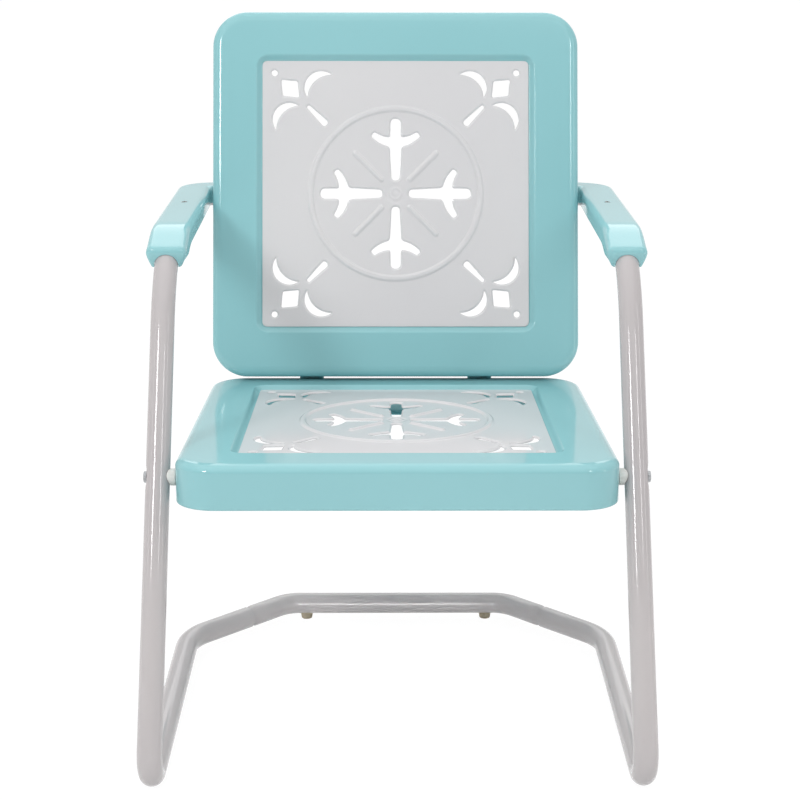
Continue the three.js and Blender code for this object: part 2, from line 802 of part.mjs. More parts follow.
// A tile panel: sheet with pierced openings, a raised ring and ribs, and a pressed middle
function tilePanel() {
  const bottom = gap - recessDepth;
  const top = bottom + tileSheet;
  const outline = roundedSquare(tileHalf - tileFit, tileCornerRadius - tileFit);
  outline.holes.push(...tileOpenings());
  const sheet = new THREE.ExtrudeGeometry(outline, {
    depth: tileSheet, bevelEnabled: false, curveSegments: 4,
  });
  sheet.translate(0, 0, bottom);
  const raised = [ridgeRing(ringWidth, embossHeight, top)];
  const hollow = [ridgeRing(ringWidth - 2 * tileSheet, embossHeight, bottom)];
  for (let quarter = 0; quarter < 4; quarter += 1) {
    raised.push(rib(quarter, ribWidth, embossHeight, top));
    hollow.push(rib(quarter, ribWidth - 2 * tileSheet, embossHeight, bottom));
  }
  const dimple = turned([
    [0, 0], [dimpleFloorRadius, 0], [dimpleRadius, dimpleDepth], [dimpleRadius, dimpleDepth + overrun],
    [0, dimpleDepth + overrun],
  ], new THREE.Vector3(0, 0, top - dimpleDepth), new THREE.Vector3(0, 0, 1), 16);
  return cut(join(sheet, ...raised), ...hollow, dimple);
}

// Fastening places in a pan's own frame
const flangeMiddle = panHalf - (panFlange + panFlangeBend) / 2;
const backBoltRise = backBolt.clone().applyMatrix4(backFrame.matrix.clone().invert()).y;
const plateRear = panDepth + gap + plateSheet;
const rivetX = plateOuterX - rivetInset;

function seatPan() {
  const bolt = seatBolt.clone().applyMatrix4(seatFrame.matrix.clone().invert());
  const sides = [-1, 1].map((side) => bar(
    new THREE.Vector3(side * (panHalf - overrun), bolt.y, bolt.z),
    new THREE.Vector3(side, 0, 0), boltHoleRadius, 2 * overrun,
  ));
  const rear = [-1, 1].map((side) => bar(
    new THREE.Vector3(side * stripHalfSpacing, panHalf - overrun, -apronBoltDrop),
    new THREE.Vector3(0, 1, 0), boltHoleRadius, 2 * overrun,
  ));
  return cut(panShell(), ...sides, ...rear);
}

function flangeHole(x, y, radius) {
  const from = new THREE.Vector3(x, y, -panDepth - overrun);
  return bar(from, upward, radius, 2 * overrun);
}

function backPan() {
  const strips = [-1, 1].map((side) => (
    flangeHole(side * stripHalfSpacing, -flangeMiddle, boltHoleRadius)
  ));
  const rivets = [-1, 1].flatMap((side) => [-1, 1].map((step) => (
    flangeHole(side * rivetX, backBoltRise + step * rivetHalfPitch, rivetDiameter / 2 + gap)
  )));
  return cut(panShell(), ...strips, ...rivets);
}

// Plate behind the back pan's side flange that carries an arm's end, in the pan's own frame
function armPlate() {
  const outline = new THREE.Shape();
  const [left, right] = [plateInnerX, plateOuterX];
  const [low, high] = [backBoltRise - plateHalfHeight, backBoltRise + plateHalfHeight];
  const radius = plateCornerRadius;
  outline.absarc(right - radius, low + radius, radius, -Math.PI / 2, 0);
  outline.absarc(right - radius, high - radius, radius, 0, Math.PI / 2);
  outline.absarc(left + radius, high - radius, radius, Math.PI / 2, Math.PI);
  outline.absarc(left + radius, low + radius, radius, Math.PI, Math.PI * 1.5);
  outline.closePath();
  const hole = (x, y, size) => new THREE.Path(arcPoints(x, y, size, 0, 2 * Math.PI, 12).slice(0, -1));
  outline.holes.push(hole(backBoltHalfWidth, backBoltRise, boltHoleRadius));
  for (const step of [-1, 1]) {
    outline.holes.push(hole(rivetX, backBoltRise + step * rivetHalfPitch, rivetDiameter / 2 + gap));
  }
  const plate = new THREE.ExtrudeGeometry(outline, {
    depth: plateSheet, bevelEnabled: false, curveSegments: 3,
  });
  plate.translate(0, 0, -plateRear);
  return plate;
}

// A set rivet: a head behind the plate and a formed head inside the flange
function plateRivet(step) {
  const shank = rivetDiameter / 2;
  const head = rivetHeadDiameter / 2;
  const grip = plateSheet + panSheet + 3 * gap;
  const crown = head - rivetHeadHeight;
  return turned([
    [0, -rivetHeadHeight], [crown, -rivetHeadHeight], [head, 0], [shank, 0],
    [shank, grip], [head, grip], [crown, grip + rivetHeadHeight], [0, grip + rivetHeadHeight],
  ], new THREE.Vector3(rivetX, backBoltRise + step * rivetHalfPitch, -plateRear - gap), upward, 12);
}

// Points on the tie strips' bolts' axes, a distance behind the face that the strip lies on
function apronBolt(side, behind) {
  return inFrame(seatFrame, side * stripHalfSpacing, panHalf + behind, -apronBoltDrop);
}

function flangeBolt(side, behind) {
  return inFrame(backFrame, side * stripHalfSpacing, -flangeMiddle, -panDepth - behind);
}

// A tie strip lies on the seat's rear side, slants back under the back pan's edge and then lies
// on the back pan's flange
function tieStrip(side) {
  const line = [
    inFrame(seatFrame, 0, panHalf + gap, stripLowerMargin - panDepth),
    inFrame(seatFrame, 0, panHalf + gap, -stripUpperBendDrop),
    inFrame(backFrame, 0, -panHalf - stripBackStart, -panDepth - gap),
    inFrame(backFrame, 0, stripBackReach - panHalf, -panDepth - gap),
  ];
  const rearward = line.map((point, i) => {
    const runs = [line[i - 1], line[i + 1]].map((other, k) => (
      other ? other.clone().sub(point).normalize().multiplyScalar(k ? 1 : -1) : null
    ));
    const normals = runs.filter(Boolean).map((run) => new THREE.Vector3(0, run.z, -run.y));
    const mitre = normals.reduce((sum, normal) => sum.clone().add(normal)).normalize();
    return point.clone().addScaledVector(mitre, stripSheet / mitre.dot(normals[0]));
  });
  const outline = [...line, ...rearward.reverse()];
  const middle = side * stripHalfSpacing;
  const rings = [middle - stripWidth / 2, middle + stripWidth / 2].map((x) => (
    outline.map((point) => point.clone().setX(x))
  ));
  const reach = stripSheet + overrun;
  const holes = [
    bar(apronBolt(side, reach), directionIn(seatFrame, 0, -1, 0), boltHoleRadius, reach + overrun),
    bar(flangeBolt(side, reach), backFront, boltHoleRadius, reach + overrun),
  ];
  return cut(flatSkin(rings), ...holes);
}

// Prism between two equal outlines, capped by triangles that follow their outline
function flatSkin([near, far]) {
  const flat = near.map((point) => new THREE.Vector2(point.y, point.z));
  const clockwise = THREE.ShapeUtils.isClockWise(flat);
  const order = clockwise ? [...flat].reverse() : flat;
  const count = near.length;
  const fix = (k) => (clockwise ? count - 1 - k : k);
  const positions = [...near, ...far].flatMap((point) => [point.x, point.y, point.z]);
  const index = [];
  for (const face of THREE.ShapeUtils.triangulateShape(order, [])) {
    const [a, b, c] = face.map(fix);
    index.push(a, c, b, a + count, b + count, c + count);
  }
  for (let k = 0; k < count; k += 1) {
    const [here, next] = [fix(k), fix((k + 1) % count)];
    index.push(here, next, next + count, here, next + count, here + count);
  }
  const geometry = new THREE.BufferGeometry();
  geometry.setAttribute('position', new THREE.Float32BufferAttribute(positions, 3));
  geometry.setIndex(index);
  return facingOut(geometry);
}

// An arm cover's line: from behind the back pan round the arm's corner, along the arm and a part
// of the way round the shoulder bend, then straight on while the tube dips away under it
function coverPath() {
  const turn = armForward.angleTo(legDown);
  const wrap = turn * coverWrapShare;
  const axis = armForward.clone().cross(legDown).normalize();
  const bendStart = shoulderCorner.clone()
    .addScaledVector(armForward, -shoulderBendRadius * Math.tan(turn / 2));
  const reach = shoulderBendRadius * Math.tan(wrap / 2);
  const corner = bendStart.addScaledVector(armForward, reach);
  const nose = armForward.clone().applyAxisAngle(axis, wrap);
  return framed(bentPath([
    { at: armCorner.clone().setX(coverEndHalfWidth) },
    { at: armCorner, bend: armCornerBendRadius },
    { at: corner, bend: shoulderBendRadius },
    { at: corner.clone().addScaledVector(nose, reach + coverRunLength - coverNoseRadius) },
  ]), new THREE.Vector3(0, -1, 0));
}

function channelSection(half, top, bottom, radius) {
  const corner = arcPoints(half - radius, top - radius, radius, 0, Math.PI / 2, 3)
    .map((point) => [point.x, point.y]);
  const other = corner.map(([x, y]) => [-x, y]).reverse();
  return [[half, bottom], ...corner, ...other, [-half, bottom]];
}

// The cover's line carried on round the rolled nose; each station there is drawn in by its inset
function nosePath(path, radius) {
  const last = path[path.length - 1];
  const roll = [];
  for (let k = 1; k <= coverNoseSteps; k += 1) {
    const angle = (k * Math.PI) / 2 / coverNoseSteps;
    const at = last.at.clone().addScaledVector(last.along, radius * Math.sin(angle));
    roll.push({ ...last, at, inset: radius * (1 - Math.cos(angle)) });
  }
  return [...path, ...roll];
}

// The tube's line through the shoulder, with room for the tube to pass the cover's front wall
function shoulderPassage() {
  const line = framed(bentPath([
    { at: armCorner }, { at: shoulderCorner, bend: shoulderBendRadius }, { at: seatBolt },
  ]), outward);
  return sweptTube(line, () => tubeRadius + gap, tubeSides);
}

function armCover() {
  const path = coverPath();
  const half = coverWidth / 2;
  const top = tubeRadius + gap + coverSheet;
  const bottom = top - coverSkirt;
  const outside = swept(nosePath(path, coverNoseRadius), ({ inset = 0 }) => (
    channelSection(half - inset, top - inset, bottom, coverEdgeRadius - inset)
  ));
  const innerPath = nosePath(lengthened(path, overrun).slice(0, -1), coverNoseRadius - coverSheet);
  const hollow = swept(innerPath, ({ inset = 0 }) => channelSection(
    half - coverSheet - inset, top - coverSheet - inset, bottom - overrun,
    coverEdgeRadius - coverSheet - inset,
  ));
  const screwHole = bar(coverScrewSeat(overrun), coverScrewAxis,
    screwShankDiameter / 2 + gap, 3 * overrun);
  const head = screwHeadDiameter / 2 + gap;
  const sink = turned([
    [0, -overrun], [head, -overrun], [head, 0],
    [screwShankDiameter / 2 + gap, screwHeadHeight], [0, screwHeadHeight],
  ], coverScrewSeat(gap + coverSheet), coverScrewAxis, 12);
  return cut(outside, hollow, shoulderPassage(), screwHole, sink);
}

// Point over the arm's crown at the cover's screw, a distance above the tube
function coverScrewSeat(above) {
  return shoulderCorner.clone().addScaledVector(armForward, -coverScrewSetback)
    .addScaledVector(upward, tubeRadius + above);
}

// Countersunk screw with a cross recess
function coverScrew() {
  const head = screwHeadDiameter / 2 - gap;
  const shank = screwShankDiameter / 2;
  const seat = coverScrewSeat(gap + coverSheet);
  const screw = turned([
    [0, 0], [head, 0], [shank, screwHeadHeight - gap], [shank, screwLength],
    [0, screwLength + screwPoint],
  ], seat, coverScrewAxis, 12);
  const slots = [1, -1].map((hand) => {
    const slot = new THREE.BoxGeometry(head, driverSlotWidth, 2 * driverSlotDepth);
    slot.rotateZ((hand * Math.PI) / 4);
    slot.translate(seat.x, seat.y, seat.z);
    return slot;
  });
  return cut(screw, ...slots);
}

// Fasteners, each drawn from the face that it bears on, along its own direction
function hexBolt(seat, direction, length) {
  const start = seat.clone().addScaledVector(direction, -boltHeadHeight);
  const head = bar(start, direction, boltHeadAcross / Math.sqrt(3), boltHeadHeight, hexSides);
  const inside = seat.clone().addScaledVector(direction, -boltHeadHeight / 2);
  const shank = bar(inside, direction, boltRadius, length + boltHeadHeight / 2, shankSides);
  return join(head, shank);
}

function hexNut(seat, direction) {
  const body = bar(seat, direction, nutAcross / Math.sqrt(3), nutHeight, hexSides);
  const start = seat.clone().addScaledVector(direction, -overrun);
  return cut(body, bar(start, direction, boltHoleRadius, nutHeight + 2 * overrun,
    shankSides));
}

function washer(seat, direction) {
  const outer = washerDiameter / 2;
  return turned([
    [boltHoleRadius, 0], [outer, 0], [outer, washerThickness], [boltHoleRadius, washerThickness],
    [boltHoleRadius, 0],
  ], seat, direction, 14);
}

// Nylon spacer between a tube and the face it is drawn against, hollowed to sit on the tube
function saddleSpacer(bolt, direction, tubeDirection, bearing) {
  const block = bar(bolt, direction, spacerDiameter / 2, bearing, 20);
  const start = bolt.clone().addScaledVector(tubeDirection, -spacerDiameter);
  const tube = bar(start, tubeDirection, tubeRadius + gap, 2 * spacerDiameter, 32);
  const hole = bar(bolt, direction, boltHoleRadius, bearing + overrun);
  return cut(block, tube, hole);
}

// A bolt's head seat on the flat of a tube, on the side away from where the bolt points
function headSeat(bolt, direction) {
  return bolt.clone().addScaledVector(direction, boltDent - tubeRadius - gap);
}

// White plug in the open end of an arm
function armPlug() {
  const shank = boreRadius * Math.cos(Math.PI / boreSides) - gap;
  return turned([
    [0, -plugShank], [shank - gap, -plugShank], [shank, gap - plugShank], [shank, 0],
    [tubeRadius, 0], [tubeRadius, plugFlange / 2], [plugCrownRadius, plugFlange], [0, plugFlange],
  ], armEnd.clone().addScaledVector(inward, gap), inward, 16);
}

// Assembly
const chair = new THREE.Group();

function place(name, geometry, material, parent = chair) {
  const mesh = new THREE.Mesh(geometry, material);
  mesh.name = name;
  parent.add(mesh);
}

function placePair(name, geometry, material, parent = chair) {
  place(`right_${name}`, geometry, material(), parent);
  place(`left_${name}`, mirrored(geometry), material(), parent);
}

place('seat_pan', seatPan(), enamel(enamelBlue), seatFrame);
place('seat_tile', tilePanel(), enamel(enamelWhite), seatFrame);
place('back_pan', backPan(), enamel(enamelBlue), backFrame);
place('back_tile', tilePanel(), enamel(enamelWhite), backFrame);
chair.add(seatFrame, backFrame);

placePair('side_tube', sideTube(), () => enamel(enamelWhite));
place('rear_cross_tube', crossTube(), enamel(enamelWhite));
placePair('rear_foot', foot(footHalfWidth), rubber);
placePair('arm_cover', armCover(), () => enamel(enamelBlue));
placePair('arm_cover_screw', coverScrew(), zincPlate);
placePair('arm_end_plug', armPlug(), nylon);

// Seat bolts: head outside the leg, then spacer, pan side, washer and nut
const seatBearing = frameHalfWidth - panHalf - gap;
const seatWasher = seatBolt.clone().setX(panHalf - panSheet - gap);
const seatNut = seatWasher.clone().addScaledVector(inward, washerThickness + gap);
const seatHead = headSeat(seatBolt, inward);
placePair('seat_bolt', hexBolt(seatHead, inward, seatHead.x - seatNut.x + nutHeight + boltTail),
  zincPlate);
placePair('seat_spacer', saddleSpacer(seatBolt, inward, legDown, seatBearing), nylon);
placePair('seat_washer', washer(seatWasher, inward), zincPlate);
placePair('seat_nut', hexNut(seatNut, inward), zincPlate);

// Back bolts: head behind the arm's end, then spacer, plate and nut
const backDistance = inFrame(backFrame, backBoltHalfWidth, backBoltRise, -panDepth)
  .distanceTo(backBolt);
const backBearing = backDistance - plateSheet - 2 * gap;
const backHead = headSeat(backBolt, backFront);
const backNut = backBolt.clone().addScaledVector(backFront, backDistance);
placePair('back_bolt', hexBolt(backHead, backFront, backHead.distanceTo(backNut) + nutHeight
  + boltTail), zincPlate);
placePair('back_spacer', saddleSpacer(backBolt, backFront, outward, backBearing), nylon);
placePair('back_nut', hexNut(backNut, backFront), zincPlate);
placePair('arm_plate', armPlate(), () => enamel(enamelBlue), backFrame);
placePair('upper_plate_rivet', plateRivet(1), zincPlate, backFrame);
placePair('lower_plate_rivet', plateRivet(-1), zincPlate, backFrame);

// Tie strips with one bolt into the seat pan and one into the back pan
const stripBehind = stripSheet + 2 * gap;
const stripInside = panSheet + gap;
const stripBoltLength = stripBehind + stripInside + nutHeight + boltTail;
const seatwards = directionIn(seatFrame, 0, -1, 0);
placePair('tie_strip', tieStrip(1), () => enamel(enamelBlue));
placePair('tie_seat_bolt', hexBolt(apronBolt(1, stripBehind), seatwards, stripBoltLength),
  zincPlate);
placePair('tie_seat_nut', hexNut(apronBolt(1, -stripInside), seatwards), zincPlate);
placePair('tie_back_bolt', hexBolt(flangeBolt(1, stripBehind), backFront, stripBoltLength),
  zincPlate);
placePair('tie_back_nut', hexNut(flangeBolt(1, -stripInside), backFront), zincPlate);

// The origin is the middle of the chair's footprint, on the floor
const box = new THREE.Box3().setFromObject(chair, true);
chair.position.y = -(box.min.y + box.max.y) / 2;
chair.position.z = -box.min.z;

export default chair;
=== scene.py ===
# %% [markdown]
# # A retro metal lawn chair
#
# The chair has two square pans of stamped steel, each with a pierced and embossed white panel in
# its middle, and one springy frame of bent steel tube that carries them. Everything is finished
# in glossy baked enamel, turquoise and white. The measured model of the chair is loaded first and
# serves as a frame: pieces whose shape shows closely are modelled again here with fine bends and
# rounded edges, in the same places, and the rest of the measured pieces get finishes only.

import json
import math

import bmesh
import bpy
from mathutils import Matrix, Vector


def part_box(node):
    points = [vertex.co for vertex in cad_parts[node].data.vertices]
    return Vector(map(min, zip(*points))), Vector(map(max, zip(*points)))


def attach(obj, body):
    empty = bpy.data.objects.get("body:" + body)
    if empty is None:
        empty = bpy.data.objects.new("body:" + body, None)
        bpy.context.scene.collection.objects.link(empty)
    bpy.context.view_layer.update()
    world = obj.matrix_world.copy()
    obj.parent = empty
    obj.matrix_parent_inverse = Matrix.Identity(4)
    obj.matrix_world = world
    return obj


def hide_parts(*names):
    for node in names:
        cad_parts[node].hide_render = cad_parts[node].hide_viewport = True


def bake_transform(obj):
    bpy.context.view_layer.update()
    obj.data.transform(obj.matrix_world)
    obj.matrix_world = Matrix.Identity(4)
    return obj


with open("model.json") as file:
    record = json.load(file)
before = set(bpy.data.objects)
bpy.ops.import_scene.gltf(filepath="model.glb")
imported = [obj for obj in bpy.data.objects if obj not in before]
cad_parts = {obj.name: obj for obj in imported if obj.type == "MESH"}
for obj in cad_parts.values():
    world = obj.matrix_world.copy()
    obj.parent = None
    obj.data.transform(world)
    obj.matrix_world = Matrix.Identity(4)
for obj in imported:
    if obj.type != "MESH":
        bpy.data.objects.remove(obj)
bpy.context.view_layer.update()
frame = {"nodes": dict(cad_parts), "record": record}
MM = 0.001
print("frame pieces:", len(frame["nodes"]))


def clear_selection():
    """An operator acts on all that is selected, and loading leaves the frame selected."""
    if bpy.context.object and bpy.context.object.mode == "EDIT":
        bpy.ops.object.mode_set(mode="OBJECT")
    bpy.ops.object.select_all(action="DESELECT")


clear_selection()

# %% [markdown]
# ## The camera
#
# The picture of a chair is taken from standing height with a longish lens, so that its uprights
# stay almost parallel. The viewpoint is written as a place and three turns: how far the camera
# looks down, how far it looks aside, and how far it leans. From these the three axes of the
# camera are built, which is clearer than guessing at Euler angles.

# %% Place the camera
FOOT_DEPTH = 537 * MM
foot_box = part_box("right_rear_foot")
FRAME_SHIFT = FOOT_DEPTH - (foot_box[0][1] + foot_box[1][1]) / 2
CAMERA_SIDE = -11 * MM
CAMERA_DISTANCE = 1715.7 * MM
CAMERA_HEIGHT = 943 * MM
CAMERA_PITCH = math.radians(15.47)
CAMERA_YAW = math.radians(0.42)
CAMERA_ROLL = math.radians(0.08)
LENS_MM, SENSOR_MM, CLIP_END = 76.8, 36.0, 100


def aim_camera():
    """The camera's place and axes as one matrix."""
    forward = Vector((
        math.sin(CAMERA_YAW) * math.cos(CAMERA_PITCH),
        math.cos(CAMERA_YAW) * math.cos(CAMERA_PITCH),
        -math.sin(CAMERA_PITCH),
    ))
    level_right = Vector((math.cos(CAMERA_YAW), -math.sin(CAMERA_YAW), 0))
    level_up = level_right.cross(forward)
    right = level_right * math.cos(CAMERA_ROLL) + level_up * math.sin(CAMERA_ROLL)
    up = right.cross(forward)
    turn = Matrix((right, up, -forward)).transposed().to_4x4()
    place = Vector((CAMERA_SIDE, -CAMERA_DISTANCE - FRAME_SHIFT, CAMERA_HEIGHT))
    return Matrix.Translation(place) @ turn


bpy.ops.object.camera_add()
camera = bpy.context.object
camera.name = "photo_camera"
camera.data.lens = LENS_MM
camera.data.sensor_width = SENSOR_MM
camera.data.clip_end = CLIP_END
camera.matrix_world = aim_camera()
bpy.context.scene.camera = camera
print("camera at", [round(c, 3) for c in camera.location])

# %% [markdown]
# ## Finishes
#
# Baked enamel is a thick, glossy paint film. It hides the grain of the steel, but it is never
# quite flat: it shows the soft ripple that painters call orange peel, a little dust that was
# caught while it was wet, and at corners it is drawn thin. A node material can hold all of that:
# a noise of a few millimetres drives the ripple and the small drift in colour and gloss.
#
# One small function turns the written colours, which are sRGB, to the linear values that shaders
# use, and another adds a node with its settings and its links.

# %% Helpers for finishes


def linear(hex_colour):
    """An sRGB colour written as hex, as linear light."""
    parts = [int(hex_colour[i:i + 2], 16) / 255 for i in (0, 2, 4)]
    return tuple(
        p / 12.92 if p <= 0.04045 else ((p + 0.055) / 1.055) ** 2.4 for p in parts
    ) + (1.0,)


def wire(node, links):
    """Wires sources to a node's sockets, by name or number."""
    for key, source in links.items():
        node.id_data.links.new(source, node.inputs[key])


def add_node(tree, kind, settings=None, inputs=None, links=None):
    """Adds a node; settings are its own properties, inputs its socket values, links its wires."""
    node = tree.nodes.new(kind)
    for key, value in (settings or {}).items():
        setattr(node, key, value)
    for key, value in (inputs or {}).items():
        node.inputs[key].default_value = value
    wire(node, links or {})
    return node


def set_ramp(node, stops):
    """Gives a colour ramp its stops, as (place, colour)."""
    ramp = node.color_ramp
    while len(ramp.elements) < len(stops):
        ramp.elements.new(1.0)
    for element, (place, colour) in zip(ramp.elements, stops):
        element.position = place
        element.color = colour


def grey(value):
    """A neutral colour in linear light."""
    return (value, value, value, 1)


def start_material(name):
    """A new material with its shader, and the place on the chair that drives its patterns."""
    material = bpy.data.materials.new(name)
    material.use_nodes = True
    tree = material.node_tree
    tree.nodes.clear()
    output = add_node(tree, "ShaderNodeOutputMaterial")
    shader = add_node(tree, "ShaderNodeBsdfPrincipled")
    wire(output, {"Surface": shader.outputs["BSDF"]})
    place = add_node(tree, "ShaderNodeTexCoord").outputs["Object"]
    return material, tree, shader, place


print("middle grey in linear light:", round(linear("808080")[0], 3))

# %% Baked enamel
PEEL_MM, PEEL_STRENGTH, PEEL_DEPTH = 4.0, 0.05, 0.25 * MM
DRIFT_MM, DRIFT_LOW, DRIFT_HIGH = 260, 0.2, 0.8
SPECK_MM, DUST_FROM, DUST_FULL, DUST_COVER = 1.4, 0.72, 0.82, 0.35
DUST_COLOUR = "B4B4AE"
GLOSSIER, DULLER = 0.9, 1.15
COLOUR_A, COLOUR_B, MIXED_COLOUR = 6, 7, 2  # the colour sockets of a Mix node


def baked_enamel(name, colour, deep_colour, roughness):
    """Thick glossy paint: orange peel, slow drift of colour and gloss, a little caught dust."""
    material, tree, shader, place = start_material(name)
    drift, speck, peel = [
        add_node(
            tree, "ShaderNodeTexNoise",
            inputs={"Scale": 1 / (size * MM), "Detail": detail, "Roughness": roughening},
            links={"Vector": place},
        ).outputs["Fac"]
        for size, detail, roughening in (
            (DRIFT_MM, 0.0, 0.5), (SPECK_MM, 1.0, 0.6), (PEEL_MM, 1.0, 0.4),
        )
    ]
    depth, dust, gloss = [
        add_node(
            tree, "ShaderNodeMapRange",
            inputs={"From Min": low, "From Max": high, "To Min": start, "To Max": end},
            links={"Value": pattern},
        ).outputs["Result"]
        for pattern, low, high, start, end in (
            (drift, DRIFT_LOW, DRIFT_HIGH, 0.0, 1.0),
            (speck, DUST_FROM, DUST_FULL, 0.0, DUST_COVER),
            (drift, DRIFT_LOW, DRIFT_HIGH, roughness * GLOSSIER, roughness * DULLER),
        )
    ]
    shade = add_node(
        tree, "ShaderNodeMix", settings={"data_type": "RGBA"},
        inputs={COLOUR_A: linear(deep_colour), COLOUR_B: linear(colour)}, links={"Factor": depth},
    )
    dusted = add_node(
        tree, "ShaderNodeMix", settings={"data_type": "RGBA"},
        inputs={COLOUR_B: linear(DUST_COLOUR)},
        links={"Factor": dust, COLOUR_A: shade.outputs[MIXED_COLOUR]},
    )
    ripple = add_node(
        tree, "ShaderNodeBump", inputs={"Strength": PEEL_STRENGTH, "Distance": PEEL_DEPTH},
        links={"Height": peel},
    )
    wire(shader, {"Base Color": dusted.outputs[MIXED_COLOUR], "Roughness": gloss,
                  "Normal": ripple.outputs["Normal"]})
    return material


turquoise_enamel = baked_enamel("turquoise_baked_enamel", "95CACF", "8FC5CA", roughness=0.09)
panel_enamel = baked_enamel("white_panel_enamel", "DBDADB", "D6D5D7", roughness=0.1)
tube_enamel = baked_enamel("white_tube_enamel", "C0BBBB", "BAB5B6", roughness=0.09)
print("enamels made")

# %% [markdown]
# ## Zinc plate
#
# The fasteners are zinc plated steel: bright, slightly blue, with a fine uneven matting. One noise
# of about a millimetre drives colour, gloss and ripple together. The screws of the arm covers have
# their plating painted a dark brown grey: painted shade that darkens each whole head like the shade
# in its cross recess.

# %% Zinc plate
ZINC_GRAIN_MM, ZINC_RIPPLE = 10 / 9, 0.08
ZINC_GLOSSY, ZINC_MATT = 0.24, 0.42
FINE_RIPPLE_DEPTH = 0.1 * MM


def zinc_plate(name, deep_colour, colour):
    """Plated steel: its grain goes from deep and glossy to light and matt."""
    material, tree, shader, place = start_material(name)
    grain = add_node(
        tree, "ShaderNodeTexNoise", inputs={"Scale": 1 / (ZINC_GRAIN_MM * MM), "Detail": 3.0},
        links={"Vector": place},
    ).outputs["Fac"]
    tint = add_node(tree, "ShaderNodeValToRGB", links={"Fac": grain})
    set_ramp(tint, [(0.35, linear(deep_colour)), (0.65, linear(colour))])
    matting = add_node(
        tree, "ShaderNodeMapRange", links={"Value": grain},
        inputs={"From Min": 0.3, "From Max": 0.7, "To Min": ZINC_GLOSSY, "To Max": ZINC_MATT},
    )
    ripple = add_node(
        tree, "ShaderNodeBump", inputs={"Strength": ZINC_RIPPLE, "Distance": FINE_RIPPLE_DEPTH},
        links={"Height": grain},
    )
    wire(shader, {"Base Color": tint.outputs["Color"], "Roughness": matting.outputs["Result"],
                  "Normal": ripple.outputs["Normal"]})
    shader.inputs["Metallic"].default_value = 1.0
    return material


zinc = zinc_plate("zinc_plated_steel", "96989B", "BDBFC1")
# the screws' dark brown grey plating is painted shade, standing in for their shaded cross recess
shade_darkened_zinc = zinc_plate("dulled_zinc_screws", "4A4542", "77716C")
print("zinc made")

# %% [markdown]
# ## Moulded nylon and rubber
#
# The spacers and plugs are moulded white plastic, which shows a faint grain from the mould. The
# feet are soft rubber, matt and a little mottled. Both are an even colour with a slow mottle and
# a fine bump, so one function makes both, with a finer and deeper grain for the rubber.

# %% Moulded plastic and rubber
MOTTLE_MM = 6.25


def moulded(name, colour, deep_colour, roughness, grain_mm, strength):
    """A moulded piece: even colour with a slight mottle, and the fine grain of the mould."""
    material, tree, shader, place = start_material(name)
    mottle, grain = [
        add_node(
            tree, "ShaderNodeTexNoise", inputs={"Scale": 1 / (size * MM), "Detail": detail},
            links={"Vector": place},
        ).outputs["Fac"]
        for size, detail in ((MOTTLE_MM, 3.0), (grain_mm, 2.0))
    ]
    tint = add_node(tree, "ShaderNodeValToRGB", links={"Fac": mottle})
    set_ramp(tint, [(0.3, linear(deep_colour)), (0.7, linear(colour))])
    ripple = add_node(
        tree, "ShaderNodeBump", inputs={"Strength": strength, "Distance": FINE_RIPPLE_DEPTH},
        links={"Height": grain},
    )
    wire(shader, {"Base Color": tint.outputs["Color"], "Normal": ripple.outputs["Normal"]})
    shader.inputs["Roughness"].default_value = roughness
    return material


nylon = moulded("moulded_white_nylon", "EDECE8", "E2E1DC",
                roughness=0.45, grain_mm=0.8, strength=0.1)
foot_rubber = moulded("beige_foot_rubber", "B5AA98", "A3977F",
                      roughness=0.8, grain_mm=0.5, strength=0.3)
print("plastic and rubber made")

# %% [markdown]
# ## Shaping tools
#
# Every stamped or bent piece here is made from rings. A ring is an outline of vertices: a rounded
# square for the pans, a circle for the tubes. Two rings are joined by a bridge, and a tube is a
# circle that is extruded along its straights and spun round its bends, just as the bender does it.

# %% Start and shape a piece
NEAR = 0.01 * MM


def edit_mesh():
    return bmesh.from_edit_mesh(bpy.context.object.data)


def start_piece(name, add, **settings):
    """Starts a new piece from a primitive and goes into edit mode."""
    clear_selection()
    add(**settings)
    piece = bpy.context.object
    piece.name = name
    piece.data.name = name
    bpy.ops.object.transform_apply(location=True, rotation=True, scale=True)
    bpy.ops.object.mode_set(mode="EDIT")
    bpy.ops.mesh.select_all(action="SELECT")
    return piece


def apply_modifier(piece, kind, **settings):
    """Runs a modifier on the active piece and keeps its result."""
    modifier = piece.modifiers.new(kind.lower(), kind)
    for key, value in settings.items():
        setattr(modifier, key, value)
    bpy.ops.object.modifier_apply(modifier=modifier.name)


def leave_edit(under):
    """Merges doubles, turns the sheet's face away from a place under it, and leaves edit mode."""
    bpy.ops.mesh.select_all(action="SELECT")
    bpy.ops.mesh.remove_doubles(threshold=NEAR)
    bpy.ops.mesh.normals_make_consistent(inside=False)
    nearest = min(edit_mesh().faces, key=lambda face: (face.calc_center_median() - under).length)
    if nearest.normal.dot(nearest.calc_center_median() - under) < 0:
        bpy.ops.mesh.flip_normals()
    bpy.ops.object.mode_set(mode="OBJECT")


print("vertices nearer than this are merged, in mm:", round(NEAR / MM, 3))

# %% Finish and copy pieces
SHEET_SMOOTH, PANEL_SMOOTH, HEAD_SMOOTH = 40, 50, 30  # degrees that still shade as one surface
MIRROR_X = Matrix.Scale(-1, 4, (1, 0, 0))
SIDES = {"right": Matrix.Identity(4), "left": MIRROR_X}


def only(piece):
    clear_selection()
    piece.select_set(True)
    bpy.context.view_layer.objects.active = piece


def finish_piece(piece, body, material, smooth_degrees, node, weigh=False):
    """Shades a piece, gives it its finish, and lets it ride in place of its frame piece."""
    only(piece)
    bpy.ops.object.shade_smooth_by_angle(angle=math.radians(smooth_degrees))
    if weigh:
        apply_modifier(piece, "WEIGHTED_NORMAL", keep_sharp=True)
    piece.data.materials.clear()
    piece.data.materials.append(material)
    if body:
        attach(piece, body)
    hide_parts(node)


